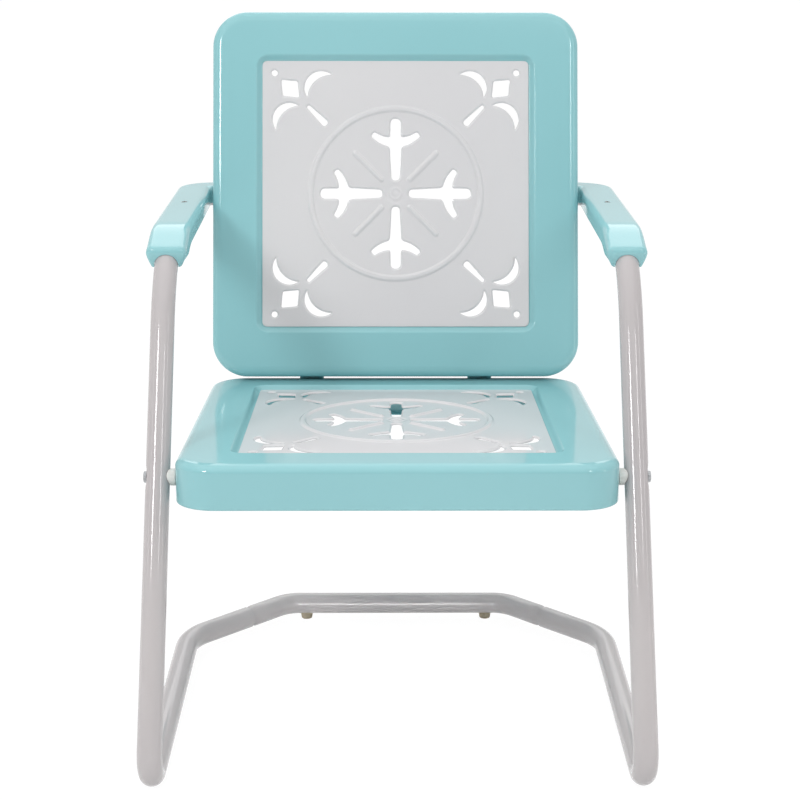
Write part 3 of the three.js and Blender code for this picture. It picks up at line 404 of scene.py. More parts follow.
def turned_copy(piece, name, matrix):
    """A copy moved in its own mesh, so that its object stays at the origin."""
    only(piece)
    bpy.ops.object.duplicate(linked=False)
    copy = bpy.context.object
    copy.name = name
    copy.data.name = name
    copy.data.transform(matrix)
    if matrix.determinant() < 0:  # a mirrored copy comes out with its faces inwards
        bpy.ops.object.mode_set(mode="EDIT")
        bpy.ops.mesh.select_all(action="SELECT")
        bpy.ops.mesh.flip_normals()
        bpy.ops.object.mode_set(mode="OBJECT")
    return copy


def set_copy(pattern, side, place, body, material, smooth_degrees, node):
    """The right or left copy of a pattern piece, in place of its frame piece."""
    piece = turned_copy(pattern, f"{side}_{pattern.name}", SIDES[side] @ place)
    finish_piece(piece, body, material, smooth_degrees, f"{side}_{node}")


print("pieces that come in pairs are made for:", list(SIDES))

# %% Outlines, in millimetres
SHORTEST_EDGE = 0.02
SHARPEST_CORNER = 0.6


def arc(x, y, radius, start, end, steps):
    """Points on an arc, with its start and end in degrees."""
    turns = [math.radians(start + (end - start) * k / steps) for k in range(steps + 1)]
    return [Vector((x + radius * math.cos(a), y + radius * math.sin(a))) for a in turns]


def eased(corners, steps=5):
    """A closed outline through corners (x, y, cut); each corner is rounded over its cut."""
    outline = []
    for k, (x, y, cut) in enumerate(corners):
        corner = Vector((x, y))
        if not cut:
            outline.append(corner)
            continue
        before, after = Vector(corners[k - 1][:2]), Vector(corners[(k + 1) % len(corners)][:2])
        start = corner + (before - corner).normalized() * cut
        end = corner + (after - corner).normalized() * cut
        for i in range(steps + 1):
            s = i / steps
            outline.append(start * (1 - s) ** 2 + corner * 2 * s * (1 - s) + end * s ** 2)
    return [p for k, p in enumerate(outline) if (p - outline[k - 1]).length > SHORTEST_EDGE]


def anticlockwise(outline):
    """The same closed outline, run through the way that widened expects."""
    twice_area = sum(a.x * b.y - b.x * a.y for a, b in zip(outline, outline[1:] + outline[:1]))
    return outline if twice_area > 0 else outline[::-1]


def widened(outline, distance):
    """The outline moved outwards, square to its edges."""
    wider = []
    for k, point in enumerate(outline):
        arrive = (point - outline[k - 1]).normalized()
        leave = (outline[(k + 1) % len(outline)] - point).normalized()
        out = (Vector((arrive.y, -arrive.x)) + Vector((leave.y, -leave.x))).normalized()
        stretch = max(out.dot(Vector((arrive.y, -arrive.x))), SHARPEST_CORNER)
        wider.append(point + out * (distance / stretch))
    return wider


def turned(outline, degrees):
    turn = Matrix.Rotation(math.radians(degrees), 2)
    return [turn @ point for point in outline]


def soft_step(share):
    """Goes from nought to one with no kink at either end."""
    share = min(max(share, 0), 1)
    return share * share * (3 - 2 * share)


print("points on a quarter turn of eight steps:", len(arc(0, 0, 1, 0, 90, 8)))

# %% Loops, bridges and fills


def place_loop(outline, height):
    """Lays the selected ring on an outline, at one height or one each; tells its numbers."""
    heights = height if isinstance(height, list) else [height] * len(outline)
    mesh = edit_mesh()
    mesh.verts.index_update()
    loop = [vertex for vertex in mesh.verts if vertex.select]
    for vertex, point, above in zip(loop, outline, heights):
        vertex.co = Vector((point.x, point.y, above)) * MM
    bmesh.update_edit_mesh(bpy.context.object.data)
    return [vertex.index for vertex in loop]


def add_loop(outline, height):
    """Adds a ring of loose vertices to the piece, laid on an outline."""
    bpy.ops.mesh.select_all(action="DESELECT")
    bpy.ops.mesh.primitive_circle_add(vertices=len(outline), radius=MM)
    return place_loop(outline, height)


def pick_loops(*loops):
    """Selects whole loops by the numbers of their vertices."""
    mesh = edit_mesh()
    mesh.verts.ensure_lookup_table()
    bpy.ops.mesh.select_all(action="DESELECT")
    bpy.ops.mesh.select_mode(type="VERT")
    for loop in loops:
        for number in loop:
            mesh.verts[number].select = True
    mesh.select_flush(True)
    bmesh.update_edit_mesh(bpy.context.object.data)
    bpy.ops.mesh.select_mode(type="EDGE")


def start_loop(name, outline, height):
    """Starts a new piece from a circle of vertices laid on an outline."""
    piece = start_piece(name, bpy.ops.mesh.primitive_circle_add, vertices=len(outline), radius=MM)
    return piece, place_loop(outline, height)


def carry_on(loop, rings):
    """Bridges a loop to each further (outline, height) in turn; tells the last loop."""
    for outline, height in rings:
        next_loop = add_loop(outline, height)
        pick_loops(loop, next_loop)
        bpy.ops.mesh.bridge_edge_loops()
        loop = next_loop
    return loop


def cap(loop):
    """Closes a loop with one face."""
    pick_loops(loop)
    bpy.ops.mesh.edge_face_add()


def draw_ridge(outline_at, profile):
    """Bridges a loop to the next for each (inset, height) of a profile."""
    loops = [add_loop(outline_at(inset), height) for inset, height in profile]
    for pair in zip(loops, loops[1:]):
        pick_loops(*pair)
        bpy.ops.mesh.bridge_edge_loops()
    return loops[0], loops[-1]


print("loops are placed, bridged, capped and filled by their vertex numbers")

# %% [markdown]
# ## Where the two pans stand
#
# Both pans come from the same die, so one is modelled flat at the origin and copied. The seat is
# laid almost level, a little lower at the back, and the back is stood up and reclined.

# %% Frames of the seat and the back
PAN_HALF = 257.5 * MM
SEAT_FRONT = Vector((0, 124.44, 356.4)) * MM
SEAT_TILT = math.radians(3.3)
BACK_FOOT = Vector((0, 601.09, 336.53)) * MM
BACK_RECLINE = math.radians(16.5)
SHIFT = Matrix.Translation((0, -FRAME_SHIFT, 0))

seat_place = (
    SHIFT @ Matrix.Translation(SEAT_FRONT) @ Matrix.Rotation(-SEAT_TILT, 4, "X")
    @ Matrix.Translation((0, PAN_HALF, 0))
)
back_place = (
    SHIFT @ Matrix.Translation(BACK_FOOT)
    @ Matrix.Rotation(math.pi / 2 - BACK_RECLINE, 4, "X")
    @ Matrix.Translation((0, PAN_HALF, 0))
)
print("middle of the seat:", [round(c, 3) for c in seat_place.translation],
      "and of the back:", [round(c, 3) for c in back_place.translation])


def lay_in_seat_and_back(pressed, kind, material, smooth_degrees):
    """Copies a pressed sheet to the seat and to the back; the flat pattern goes away."""
    for name, place in (("seat", seat_place), ("back", back_place)):
        piece = turned_copy(pressed, f"{name}_{kind}_pressed", place)
        finish_piece(piece, "seat_unit", material, smooth_degrees, f"{name}_{kind}", weigh=True)
    print(kind, len(pressed.data.polygons), "faces")
    bpy.data.objects.remove(pressed)


# %% [markdown]
# ## The stamped pans
#
# A press draws each pan from sheet: a flat border, a soft rolled edge, a deep side and a narrow
# flange turned in at the back. Inside the border the sheet steps down to a ledge that the white
# panel lies on. The cross section is a short list of points, each with its distance in from the
# pan's edge, its height and its corner radius; every point becomes a rounded square ring. Pressed
# sheet is never quite flat: the border is crowned by a hair, and the flange and the ledge spring
# back a little at their free edges.

# %% The pan's cross section
PAN_SHEET = 1.2
PAN_SIDE_HALF, PAN_DEPTH = 257.45, 53.4
PAN_CORNER = 49
PAN_ROLL, ROLL_WIDTH = 10, 15
PAN_FLANGE, FLANGE_BEND = 16, 2.5
RECESS, RISER = 6.5, 9
TILE_HALF, LEDGE = 188, 8
RISER_TOP_CORNER, TILE_CORNER = 19, 8
CROWN, SPRING = 0.15, 0.2
ROLL_STEPS, RISER_STEPS, BEND_STEPS, CORNER_STEPS = 16, 14, 4, 18


def pan_section():
    """From the flange round the side, the roll and the riser to the ledge: inset, height, corner."""
    section = [(PAN_FLANGE, SPRING - PAN_DEPTH, PAN_CORNER - PAN_FLANGE)]
    for k in range(BEND_STEPS + 1):
        angle = k / BEND_STEPS * math.pi / 2
        inset = FLANGE_BEND * (1 - math.sin(angle))
        section.append((inset, FLANGE_BEND * (1 - math.cos(angle)) - PAN_DEPTH, PAN_CORNER - inset))
    for k in range(ROLL_STEPS + 1):
        angle = k / ROLL_STEPS * math.pi / 2
        inset = ROLL_WIDTH * (1 - math.cos(angle))
        section.append((inset, PAN_ROLL * (math.sin(angle) - 1) - CROWN, PAN_CORNER - inset))
    riser_start = PAN_SIDE_HALF - TILE_HALF - RISER
    for k in range(RISER_STEPS + 1):
        share = k / RISER_STEPS
        fall = (1 - math.cos(share * math.pi)) / 2
        corner = RISER_TOP_CORNER + (TILE_CORNER - RISER_TOP_CORNER) * share
        section.append((riser_start + RISER * share, -RECESS * fall, corner))
    section.append((riser_start + RISER + LEDGE, -RECESS - SPRING, TILE_CORNER / 2))
    return section


def rounded_square(half, corner):
    """A square outline whose corners are true arcs."""
    outline = []
    for quarter in range(4):
        bend = arc(half - corner, half - corner, corner, 0, 90, CORNER_STEPS)
        outline += turned(bend, 90 * quarter)
    return outline


print("rings in a pan:", len(pan_section()))

# %% Press the pans


def press_pan():
    """Bridges the section's rings from the flange inwards and gives the sheet its thickness."""
    rings = [(rounded_square(PAN_SIDE_HALF - inset, corner), height)
             for inset, height, corner in pan_section()]
    pan, flange = start_loop("pan_blank", *rings[0])
    carry_on(flange, rings[1:])
    leave_edit(under=Vector((0, 0, -PAN_DEPTH / 2)) * MM)
    apply_modifier(pan, "SOLIDIFY", thickness=PAN_SHEET * MM, offset=-1.0, use_even_offset=True)
    return pan


lay_in_seat_and_back(press_pan(), "pan", turquoise_enamel, SHEET_SMOOTH)

# %% [markdown]
# ## The pierced panels
#
# A white panel lies in each pan. The press pierces it and coins the rim of every opening a little
# downwards, and it raises a ring, four ribs and a dimple in the middle. Holes could be cut with
# booleans, but clean rims need clean outlines: each rim is bridged from loop to loop, and the flat
# sheet between the rims is filled in last.

# %% The openings
DIAMOND_REACH = 148.5
DIAMOND_LENGTH, DIAMOND_WIDTH, DIAMOND_CUT = 35, 29, 2.4
HOLE_REACH, HOLE_RADIUS, HOLE_POINTS = 170.4, 4.2, 20
LEAF_INNER, LEAF_OUTER = 137.7, 175
LEAF_INNER_HALF, LEAF_OUTER_HALF = 4.7, 2.3
CRESCENT_X, CRESCENT_Y, CRESCENT_RADIUS = 104.7, 149.6, 23.5
BITE_X, BITE_Y, BITE_RADIUS = 90.6, 134.2, 34.1
CRESCENT_STEPS, BITE_STEPS, CRESCENT_TIP_CUT = 20, 12, 1.2
PROP_INNER, PROP_INNER_HALF = 18.7, 5.4
PROP_OUTER, PROP_OUTER_HALF = 105.8, 6.9
PROP_HALF_OUTLINE = [
    # x, y and cut of the right half, from the root of the bar round the wing to its far end
    (PROP_INNER_HALF, PROP_INNER, PROP_INNER_HALF), (7.9, 66.0, 4.5), (23.5, 71.4, 8.0),
    (35.0, 81.2, 3.6), (30.4, 87.2, 3.4), (18.5, 80.6, 7.0), (7.3, 79.2, 4.0),
    (PROP_OUTER_HALF, PROP_OUTER, PROP_OUTER_HALF),
]


def crescent():
    """A disc with a larger disc bitten out of it."""
    centre, bite = Vector((CRESCENT_X, CRESCENT_Y)), Vector((BITE_X, BITE_Y))
    between = centre - bite
    apart = between.length
    aim = math.degrees(math.atan2(between.y, between.x))
    big, small = BITE_RADIUS, CRESCENT_RADIUS
    on_bite = math.degrees(math.acos((apart ** 2 + big ** 2 - small ** 2) / (2 * apart * big)))
    on_disc = math.degrees(math.acos((apart ** 2 + small ** 2 - big ** 2) / (2 * apart * small)))
    outer = arc(*centre, small, aim - 180 + on_disc, aim + 180 - on_disc, CRESCENT_STEPS)
    inner = arc(*bite, big, aim + on_bite, aim - on_bite, BITE_STEPS)
    tips = {0: CRESCENT_TIP_CUT, len(outer) - 1: CRESCENT_TIP_CUT}
    points = outer + inner[1:-1]
    return eased([(*point, tips.get(k, 0)) for k, point in enumerate(points)], steps=3)


def quarter_openings():
    """The openings that repeat on every quarter: those outside the ring and those inside it."""
    hole = arc(HOLE_REACH, HOLE_REACH, HOLE_RADIUS, 0, 360, HOLE_POINTS)[:-1]
    length, width = DIAMOND_LENGTH / 2, DIAMOND_WIDTH / 2
    lozenge = eased([
        (x, y, DIAMOND_CUT) for x, y in ((length, 0), (0, width), (-length, 0), (0, -width))
    ], 4)
    diamond = [p + Vector((DIAMOND_REACH, DIAMOND_REACH)) for p in turned(lozenge, 45)]
    leaf = turned(eased([
        (reach, side * half, half) for reach, half, side in (
            (LEAF_OUTER, LEAF_OUTER_HALF, -1), (LEAF_OUTER, LEAF_OUTER_HALF, 1),
            (LEAF_INNER, LEAF_INNER_HALF, 1), (LEAF_INNER, LEAF_INNER_HALF, -1),
        )
    ]), 45)
    upright = crescent()
    lying = [Vector((p.y, p.x)) for p in upright]
    left_half = [(-x, y, cut) for x, y, cut in reversed(PROP_HALF_OUTLINE)]
    propeller = eased(PROP_HALF_OUTLINE + left_half)
    return [hole, diamond, leaf, upright, lying], [propeller]


outer_set, inner_set = quarter_openings()
print("points in an opening:", [len(outline) for outline in outer_set + inner_set])

# %% The panel's edge, rims and ridges
TILE_FACE = -5.0 * MM
TILE_SHEET = 1.2 * MM
TILE_EDGE, TILE_EDGE_CORNER, TILE_CORNER_STEPS = 187.6, 7.6, 8
EDGE_PROFILE = [(0.0, -0.7), (0.2, -0.25), (0.7, 0.0)]
RIM_WIDTH = 2.6
RIM_PROFILE = [(0.0, 0.0), (0.3, -0.06), (0.9, -0.5), (1.6, -1.2), (2.1, -1.5), (2.6, -1.6)]
RING_RADIUS, RING_WIDTH, RING_POINTS = 125.2, 11.0, 144
RIB_INNER, RIB_OUTER, RIB_WIDTH, RIB_END_STEPS = 23.2, 85.5, 10.4, 8
EMBOSS, RISE, RISE_STEPS = 2.4, 4.2, 8
DIMPLE_RADIUS, DIMPLE_POINTS = 15.2, 40
DIMPLE_PROFILE = [
    (0.0, 0.0), (1.2, -0.12), (2.6, -0.42), (4.0, -0.55), (5.4, -0.48), (6.6, -0.1), (7.4, 0.05),
    (8.2, -0.1), (9.4, -0.8), (10.6, -1.0), (12.2, -0.65), (13.6, -0.4),
]


def swell():
    """A soft rise from the sheet to the crest of a ridge."""
    shares = [k / RISE_STEPS for k in range(RISE_STEPS + 1)]
    return [(RISE * s, EMBOSS * (1 - math.cos(math.pi * s)) / 2) for s in shares]


def square_outline(inset):
    """The panel's edge: a square with eased corners."""
    half = TILE_EDGE - inset
    corners = (half, -half), (half, half), (-half, half), (-half, -half)
    return eased([(x, y, TILE_EDGE_CORNER) for x, y in corners], TILE_CORNER_STEPS)


def rib_outline(quarter):
    """A bar with round ends on a diagonal of the panel."""
    half = RIB_WIDTH / 2

    def outline_at(inset):
        ends = arc(RIB_OUTER - half, 0, half - inset, -90, 90, RIB_END_STEPS)
        ends += arc(RIB_INNER + half, 0, half - inset, 90, 270, RIB_END_STEPS)
        return turned(ends, 45 + 90 * quarter)
    return outline_at


def rim_outline(opening):
    """The rim round an opening, coming in to the opening itself."""
    shape = anticlockwise(opening)
    return lambda inset: widened(shape, RIM_WIDTH - inset)


def circle_outline(radius, points):
    return lambda inset: arc(0, 0, radius - inset, 0, 360, points)[:-1]


print("points in the panel's edge:", len(square_outline(0)))

# %% Press the panel


def press_tile():
    """Edge, ring, rims, ribs and dimple first, then the flat sheet outside and inside the ring."""
    edge = [(square_outline(inset), height) for inset, height in EDGE_PROFILE]
    tile, loop = start_loop("tile_blank", *edge[0])
    first = carry_on(loop, edge[1:])
    fall = [(RING_WIDTH - inset, height) for inset, height in reversed(swell())]
    ring_outside, ring_inside = draw_ridge(circle_outline(RING_RADIUS, RING_POINTS), swell() + fall)
    outside, inside = [first, ring_outside], [ring_inside]
    for quarter in range(4):
        for openings, area in ((outer_set, outside), (inner_set, inside)):
            for opening in openings:
                rim = rim_outline(turned(opening, 90 * quarter))
                area.append(draw_ridge(rim, RIM_PROFILE)[0])
        foot, crest = draw_ridge(rib_outline(quarter), swell())
        inside.append(foot)
        cap(crest)
    foot, floor = draw_ridge(circle_outline(DIMPLE_RADIUS, DIMPLE_POINTS), DIMPLE_PROFILE)
    inside.append(foot)
    cap(floor)
    for area in (outside, inside):
        pick_loops(*area)
        bpy.ops.mesh.fill(use_beauty=True)
    leave_edit(under=Vector((0, 0, -1)))
    apply_modifier(tile, "SOLIDIFY", thickness=TILE_SHEET, offset=-1.0)
    tile.data.transform(Matrix.Translation((0, 0, TILE_FACE)))
    return tile


lay_in_seat_and_back(press_tile(), "tile", panel_enamel, PANEL_SMOOTH)

# %% [markdown]
# ## Bent tubes
#
# The frame is drawn steel tube. A bender feeds it straight, clamps it and swings it round a die,
# and the same is done here: a circle is extruded along each straight and spun round each bend.
# A curve with a round bevel would be quicker, but its bends are never true arcs.

# %% Draw a tube
TUBE_RADIUS = 14.3 * MM
TUBE_WALL = 1.6 * MM
TUBE_SIDES = 40
STRAIGHT_STEP = 14 * MM
BEND_STEP = math.radians(5)
MARK_ROOM = 3 * MM


def extrude_to(here, end, marks=()):
    """Extrudes the selected ring along a straight, with a stop at every step and every mark."""
    along = (end - here).normalized()
    length = (end - here).length
    count = max(1, round(length / STRAIGHT_STEP))
    kept = [d for d in ((mark - here).dot(along) for mark in marks) if 0 < d < length]
    plain = [length * k / count for k in range(1, count)]
    plain = [d for d in plain if all(abs(d - mark) > MARK_ROOM for mark in kept)]
    gone = 0
    for stop in sorted(plain + kept) + [length]:
        step = along * (stop - gone)
        bpy.ops.mesh.extrude_region_move(TRANSFORM_OT_translate={"value": step})
        gone = stop


def spin_round(end, along, after, radius):
    """Spins the selected ring round a bend that turns it from one direction to another."""
    axis = along.cross(after).normalized()
    turn = along.angle(after)
    bpy.ops.mesh.spin(
        steps=max(3, round(turn / BEND_STEP)), angle=-turn,
        center=end + axis.cross(along) * radius, axis=axis,
    )


def start_ring(name, centre, along, radius):
    """Starts a tube from a circle that stands square to its line."""
    turn = along.to_track_quat("Z", "Y").to_euler()
    return start_piece(name, bpy.ops.mesh.primitive_circle_add, vertices=TUBE_SIDES,
                       radius=radius, location=centre, rotation=turn)


def straights(corners, bends):
    """The straights of a bent line: start, end, direction, next direction and bend, 0 for none."""
    here = corners[0]
    for k, corner in enumerate(corners[1:]):
        along = (corner - corners[k]).normalized()
        if k == len(bends):
            yield here, corner, along, along, 0
            return
        after = (corners[k + 2] - corner).normalized()
        reach = bends[k] * math.tan(along.angle(after) / 2)
        yield here, corner - along * reach, along, after, bends[k]
        here = corner + after * reach


def follow(corners, bends, marks=()):
    """Carries the selected ring from corner to corner, round a bend at each inner one."""
    for here, end, along, after, radius in straights(corners, bends):
        extrude_to(here, end, marks)
        if radius:
            spin_round(end, along, after, radius)


print("steps of a tube's quarter bend:", round(math.pi / 2 / BEND_STEP))

# %% The line of a side tube
LEG_RAKE = math.radians(28.6)
RUNNER_PITCH = math.radians(1.15)
FRAME_HALF = 279 * MM
FLOOR_BEND, SHOULDER_BEND, ARM_BEND, WING_BEND = 26 * MM, 158 * MM, 50 * MM, 70 * MM
SHOULDER_HEIGHT, ARM_HEIGHT = 572 * MM, 568 * MM
ARM_CORNER_HALF, ARM_END_HALF, BACK_BOLT_HALF = 291 * MM, 200 * MM, 221 * MM
WING_DEPTH, CROSS_DEPTH = 412 * MM, 537 * MM
CROSS_HALF, JOINT_HALF = 153 * MM, 205 * MM
SEAT_BOLT_HEIGHT = 326.08 * MM

floor_reach = FLOOR_BEND * math.tan((math.pi / 2 + LEG_RAKE + RUNNER_PITCH) / 2)
floor_height = TUBE_RADIUS - floor_reach * math.sin(RUNNER_PITCH)
floor_depth = floor_height * math.tan(LEG_RAKE)
wing_height = floor_height + (WING_DEPTH - floor_depth) * math.tan(RUNNER_PITCH)
arm_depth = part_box("right_side_tube")[1][1] + FRAME_SHIFT - TUBE_RADIUS


def at(x, depth, height):
    """A place whose depth is measured from where the line of the legs meets the floor."""
    return Vector((x, depth - FRAME_SHIFT, height))


def on_wing(half):
    """The place on a wing at a distance from the chair's middle."""
    share = (FRAME_HALF - half) / (FRAME_HALF - CROSS_HALF)
    return at(half, WING_DEPTH + (CROSS_DEPTH - WING_DEPTH) * share, wing_height)


arm_end = at(ARM_END_HALF, arm_depth, ARM_HEIGHT)
arm_corner = at(ARM_CORNER_HALF, arm_depth, ARM_HEIGHT)
shoulder = at(FRAME_HALF, SHOULDER_HEIGHT * math.tan(LEG_RAKE), SHOULDER_HEIGHT)
seat_bolt = at(FRAME_HALF, SEAT_BOLT_HEIGHT * math.tan(LEG_RAKE), SEAT_BOLT_HEIGHT)
back_bolt = at(BACK_BOLT_HALF, arm_depth, ARM_HEIGHT)
LEG_DOWN = Vector((0, -math.sin(LEG_RAKE), -math.cos(LEG_RAKE)))
BACK_REAR = Vector((0, math.cos(BACK_RECLINE), -math.sin(BACK_RECLINE)))
OUTWARD = Vector((1, 0, 0))
print("arm corner", [round(c, 4) for c in arm_corner])

# %% [markdown]
# ## The side tubes
#
# One length of tube makes the arm, the shoulder, the leg, the bend on the floor, the runner and
# the wing that turns in at the back. Where a bolt draws it in, the tube is a little flattened.
# The lower part rests on the floor while the upper part sways with the sitter; here the finished
# tube is attached to neither.

# %% Bend the side tubes
FLAT_DEPTH, FLAT_HALF, FLAT_RUN = 1.8 * MM, 8 * MM, 8 * MM
FLAT_STOPS = (-16, -12, -8, -3, 3, 8, 12, 16)


def press_flat(tube, centre, along, facing):
    """Presses one side of the tube flat round a bolt, running out softly both ways."""
    for vertex in tube.data.vertices:
        offset = vertex.co - centre
        away = abs(offset.dot(along))
        if offset.length > 2 * (FLAT_HALF + FLAT_RUN) or away > FLAT_HALF + FLAT_RUN:
            continue
        run = soft_step((FLAT_HALF + FLAT_RUN - away) / FLAT_RUN)
        past = offset.dot(facing) - TUBE_RADIUS + FLAT_DEPTH * run
        if past > 0:
            vertex.co -= facing * past


def bend_side_tube():
    corners = [
        arm_end, arm_corner, shoulder, at(FRAME_HALF, floor_depth, floor_height),
        at(FRAME_HALF, WING_DEPTH, wing_height), on_wing(JOINT_HALF),
    ]
    marks = [seat_bolt + LEG_DOWN * stop * MM for stop in FLAT_STOPS]
    marks += [back_bolt + OUTWARD * stop * MM for stop in FLAT_STOPS]
    tube = start_ring("right_side_tube_bent", arm_end, OUTWARD, TUBE_RADIUS)
    follow(corners, [ARM_BEND, SHOULDER_BEND, FLOOR_BEND, WING_BEND], marks)
    leave_edit(under=arm_end)
    press_flat(tube, seat_bolt, LEG_DOWN, OUTWARD)
    press_flat(tube, back_bolt, OUTWARD, BACK_REAR)
    apply_modifier(tube, "SOLIDIFY", thickness=TUBE_WALL, offset=-1.0)
    return tube


right_tube = bend_side_tube()
left_tube = turned_copy(right_tube, "left_side_tube_bent", MIRROR_X)
for side, tube in zip(SIDES, (right_tube, left_tube)):
    finish_piece(tube, None, tube_enamel, SHEET_SMOOTH, f"{side}_side_tube")
    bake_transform(tube)
print("side tube:", len(right_tube.data.polygons), "faces")

# %% [markdown]
# ## The cross tube
#
# A shorter tube closes the base at the back. Its ends are swaged, which means squeezed down in
# a die, so that they slide into the side tubes; a narrow neck shows at each joint.

# %% Bend the cross tube
CROSS_BEND = 42 * MM
SWAGE_INSERTION, SWAGE_NECK, SWAGE_SHOULDER = 32 * MM, 5 * MM, 3 * MM
SWAGE_RADIUS = 11.8 * MM


def swage(along, share):
    """Carries the ring over the shoulder between the swaged neck and the full tube."""
    centre = sum((v.co for v in edit_mesh().verts if v.select), Vector()) / TUBE_SIDES
    bpy.ops.mesh.extrude_region_move(TRANSFORM_OT_translate={"value": along * SWAGE_SHOULDER})
    bpy.ops.transform.resize(value=(share, share, share),
                             center_override=centre + along * SWAGE_SHOULDER)


def bend_cross_tube():
    """From one swaged end round the two corners to the other, in one run."""
    corner = at(CROSS_HALF, CROSS_DEPTH, wing_height)
    other = at(-CROSS_HALF, CROSS_DEPTH, wing_height)
    joint = on_wing(JOINT_HALF)
    wing = (joint - corner).normalized()
    far_wing = Vector((-wing.x, wing.y, wing.z))
    far_joint = Vector((-joint.x, joint.y, joint.z))
    tube = start_ring("rear_cross_tube_bent", joint + wing * SWAGE_INSERTION, -wing, SWAGE_RADIUS)
    extrude_to(joint + wing * SWAGE_INSERTION, joint - wing * SWAGE_NECK)
    swage(-wing, TUBE_RADIUS / SWAGE_RADIUS)
    run_in = SWAGE_NECK + SWAGE_SHOULDER
    follow([joint - wing * run_in, corner, other, far_joint - far_wing * run_in],
           [CROSS_BEND, CROSS_BEND])
    swage(far_wing, SWAGE_RADIUS / TUBE_RADIUS)
    extrude_to(far_joint - far_wing * SWAGE_NECK, far_joint + far_wing * SWAGE_INSERTION)
    leave_edit(under=joint + wing * SWAGE_INSERTION)
    apply_modifier(tube, "SOLIDIFY", thickness=TUBE_WALL, offset=-1.0)
    return tube


cross_tube = bend_cross_tube()
finish_piece(cross_tube, "base", tube_enamel, SHEET_SMOOTH, "rear_cross_tube")
print("cross tube:", len(cross_tube.data.polygons), "faces")

# %% [markdown]
# ## The arm covers
#
# A turquoise channel clips over each arm. It is pressed from a flat blank, so a grid serves as
# the blank here: its columns lie across the channel and its rows along the arm. At the front it
# runs straight on while the tube dips away, and then it rolls over and closes round the tube.

# %% A blank and the line it is bent along
COVER_STEP = 9 * MM


def bend_blank(name, columns, rows, place):
    """A grid of sheet whose every vertex is laid where its column and row belong."""
    sheet = start_piece(name, bpy.ops.mesh.primitive_grid_add, size=1,
                        x_subdivisions=columns - 1, y_subdivisions=rows - 1)
    mesh = edit_mesh()
    for vertex in mesh.verts:
        column = round((vertex.co.x + 0.5) * (columns - 1))
        row = round((vertex.co.y + 0.5) * (rows - 1))
        vertex.co = place(column, row)
    bmesh.update_edit_mesh(sheet.data)
    return sheet


def even_steps(start, end, spacing):
    """Even stops from a start up to, not with, an end."""
    count = max(1, round((end - start) / spacing))
    return [start + (end - start) * k / count for k in range(count)]


def bent_line(corners, bends, up, extra_stops=()):
    """Stations (place, direction, upward direction) along a line with a round bend at corners."""
    stations = []
    for here, end, along, after, radius in straights(corners, bends):
        length = (end - here).length
        stops = even_steps(0, length, COVER_STEP)
        stops += [d for d in ((stop - here).dot(along) for stop in extra_stops) if 0 < d < length]
        stations += [(here + along * d, along, up) for d in sorted(stops)]
        if not radius:
            return stations + [(end, along, up)]
        axis, turn = along.cross(after).normalized(), along.angle(after)
        centre = end + axis.cross(along) * radius
        for angle in even_steps(0, turn, BEND_STEP):
            swing = Matrix.Rotation(angle, 3, axis)
            stations.append((centre + swing @ (end - centre), swing @ along, swing @ up))
        up = Matrix.Rotation(turn, 3, axis) @ up


print("steps on a 100 mm straight:", len(even_steps(0, 100 * MM, COVER_STEP)))

# %% The cover's section and line
COVER_SHEET = 1.4 * MM
COVER_HALF, COVER_TOP, COVER_BOTTOM, COVER_EDGE = 24.5 * MM, 16 * MM, -8 * MM, 9 * MM
COVER_EDGE_STEPS, COVER_TOP_STEPS, SKIRT_STEPS = 8, 20, 3
COVER_END_HALF = 238 * MM
COVER_CORNER_HALF = 290.2 * MM
COVER_BEND = 32 * MM
COVER_WRAP_SHARE = 0.25
COVER_RUN = 38 * MM
NOSE_LENGTH, NOSE_STEPS = 8 * MM, 8
JOWL_RUN, JOWL_TUCK, JOWL_CURVE = 34 * MM, 5.5 * MM, 1.5
ARCH_RADIUS = 14.8 * MM
SCREW_SETBACK = 270 * MM
DIMPLE_STOPS = (-9, -7.5, -6, -4.5, -3, -1.5, 0, 1.5, 3, 4.5, 6, 7.5, 9)

arm_forward = (shoulder - arm_corner).normalized()
shoulder_turn = arm_forward.angle(LEG_DOWN)
shoulder_axis = arm_forward.cross(LEG_DOWN).normalized()
shoulder_start = shoulder - arm_forward * SHOULDER_BEND * math.tan(shoulder_turn / 2)
screw_centre = shoulder - arm_forward * SCREW_SETBACK


def channel_section():
    """Half the channel's outline, mirrored: places across and above the tube's middle."""
    wall = COVER_TOP - COVER_EDGE - COVER_BOTTOM
    half = [(COVER_HALF, COVER_BOTTOM + wall * k / SKIRT_STEPS) for k in range(SKIRT_STEPS)]
    for k in range(COVER_EDGE_STEPS + 1):
        angle = math.pi / 2 * k / COVER_EDGE_STEPS
        half.append((COVER_HALF - COVER_EDGE * (1 - math.cos(angle)),
                     COVER_TOP - COVER_EDGE * (1 - math.sin(angle))))
    flat = COVER_HALF - COVER_EDGE
    top = [(flat - 2 * flat * k / COVER_TOP_STEPS, COVER_TOP) for k in range(1, COVER_TOP_STEPS)]
    return half + top + [(-across, above) for across, above in reversed(half)]


def cover_line():
    """The tube's own line, but with an early straight run where the tube dips away."""
    wrap = shoulder_turn * COVER_WRAP_SHARE
    reach = SHOULDER_BEND * math.tan(wrap / 2)
    bend_corner = shoulder_start + arm_forward * reach
    nose = Matrix.Rotation(wrap, 3, shoulder_axis) @ arm_forward
    start, corner = arm_corner.copy(), arm_corner.copy()
    start.x, corner.x = COVER_END_HALF, COVER_CORNER_HALF
    up = OUTWARD.cross(-arm_forward).normalized()
    return bent_line(
        [start, corner, bend_corner, bend_corner + nose * (reach + COVER_RUN)],
        [COVER_BEND, SHOULDER_BEND], up,
        [screw_centre + arm_forward * stop * MM for stop in DIMPLE_STOPS],
    )


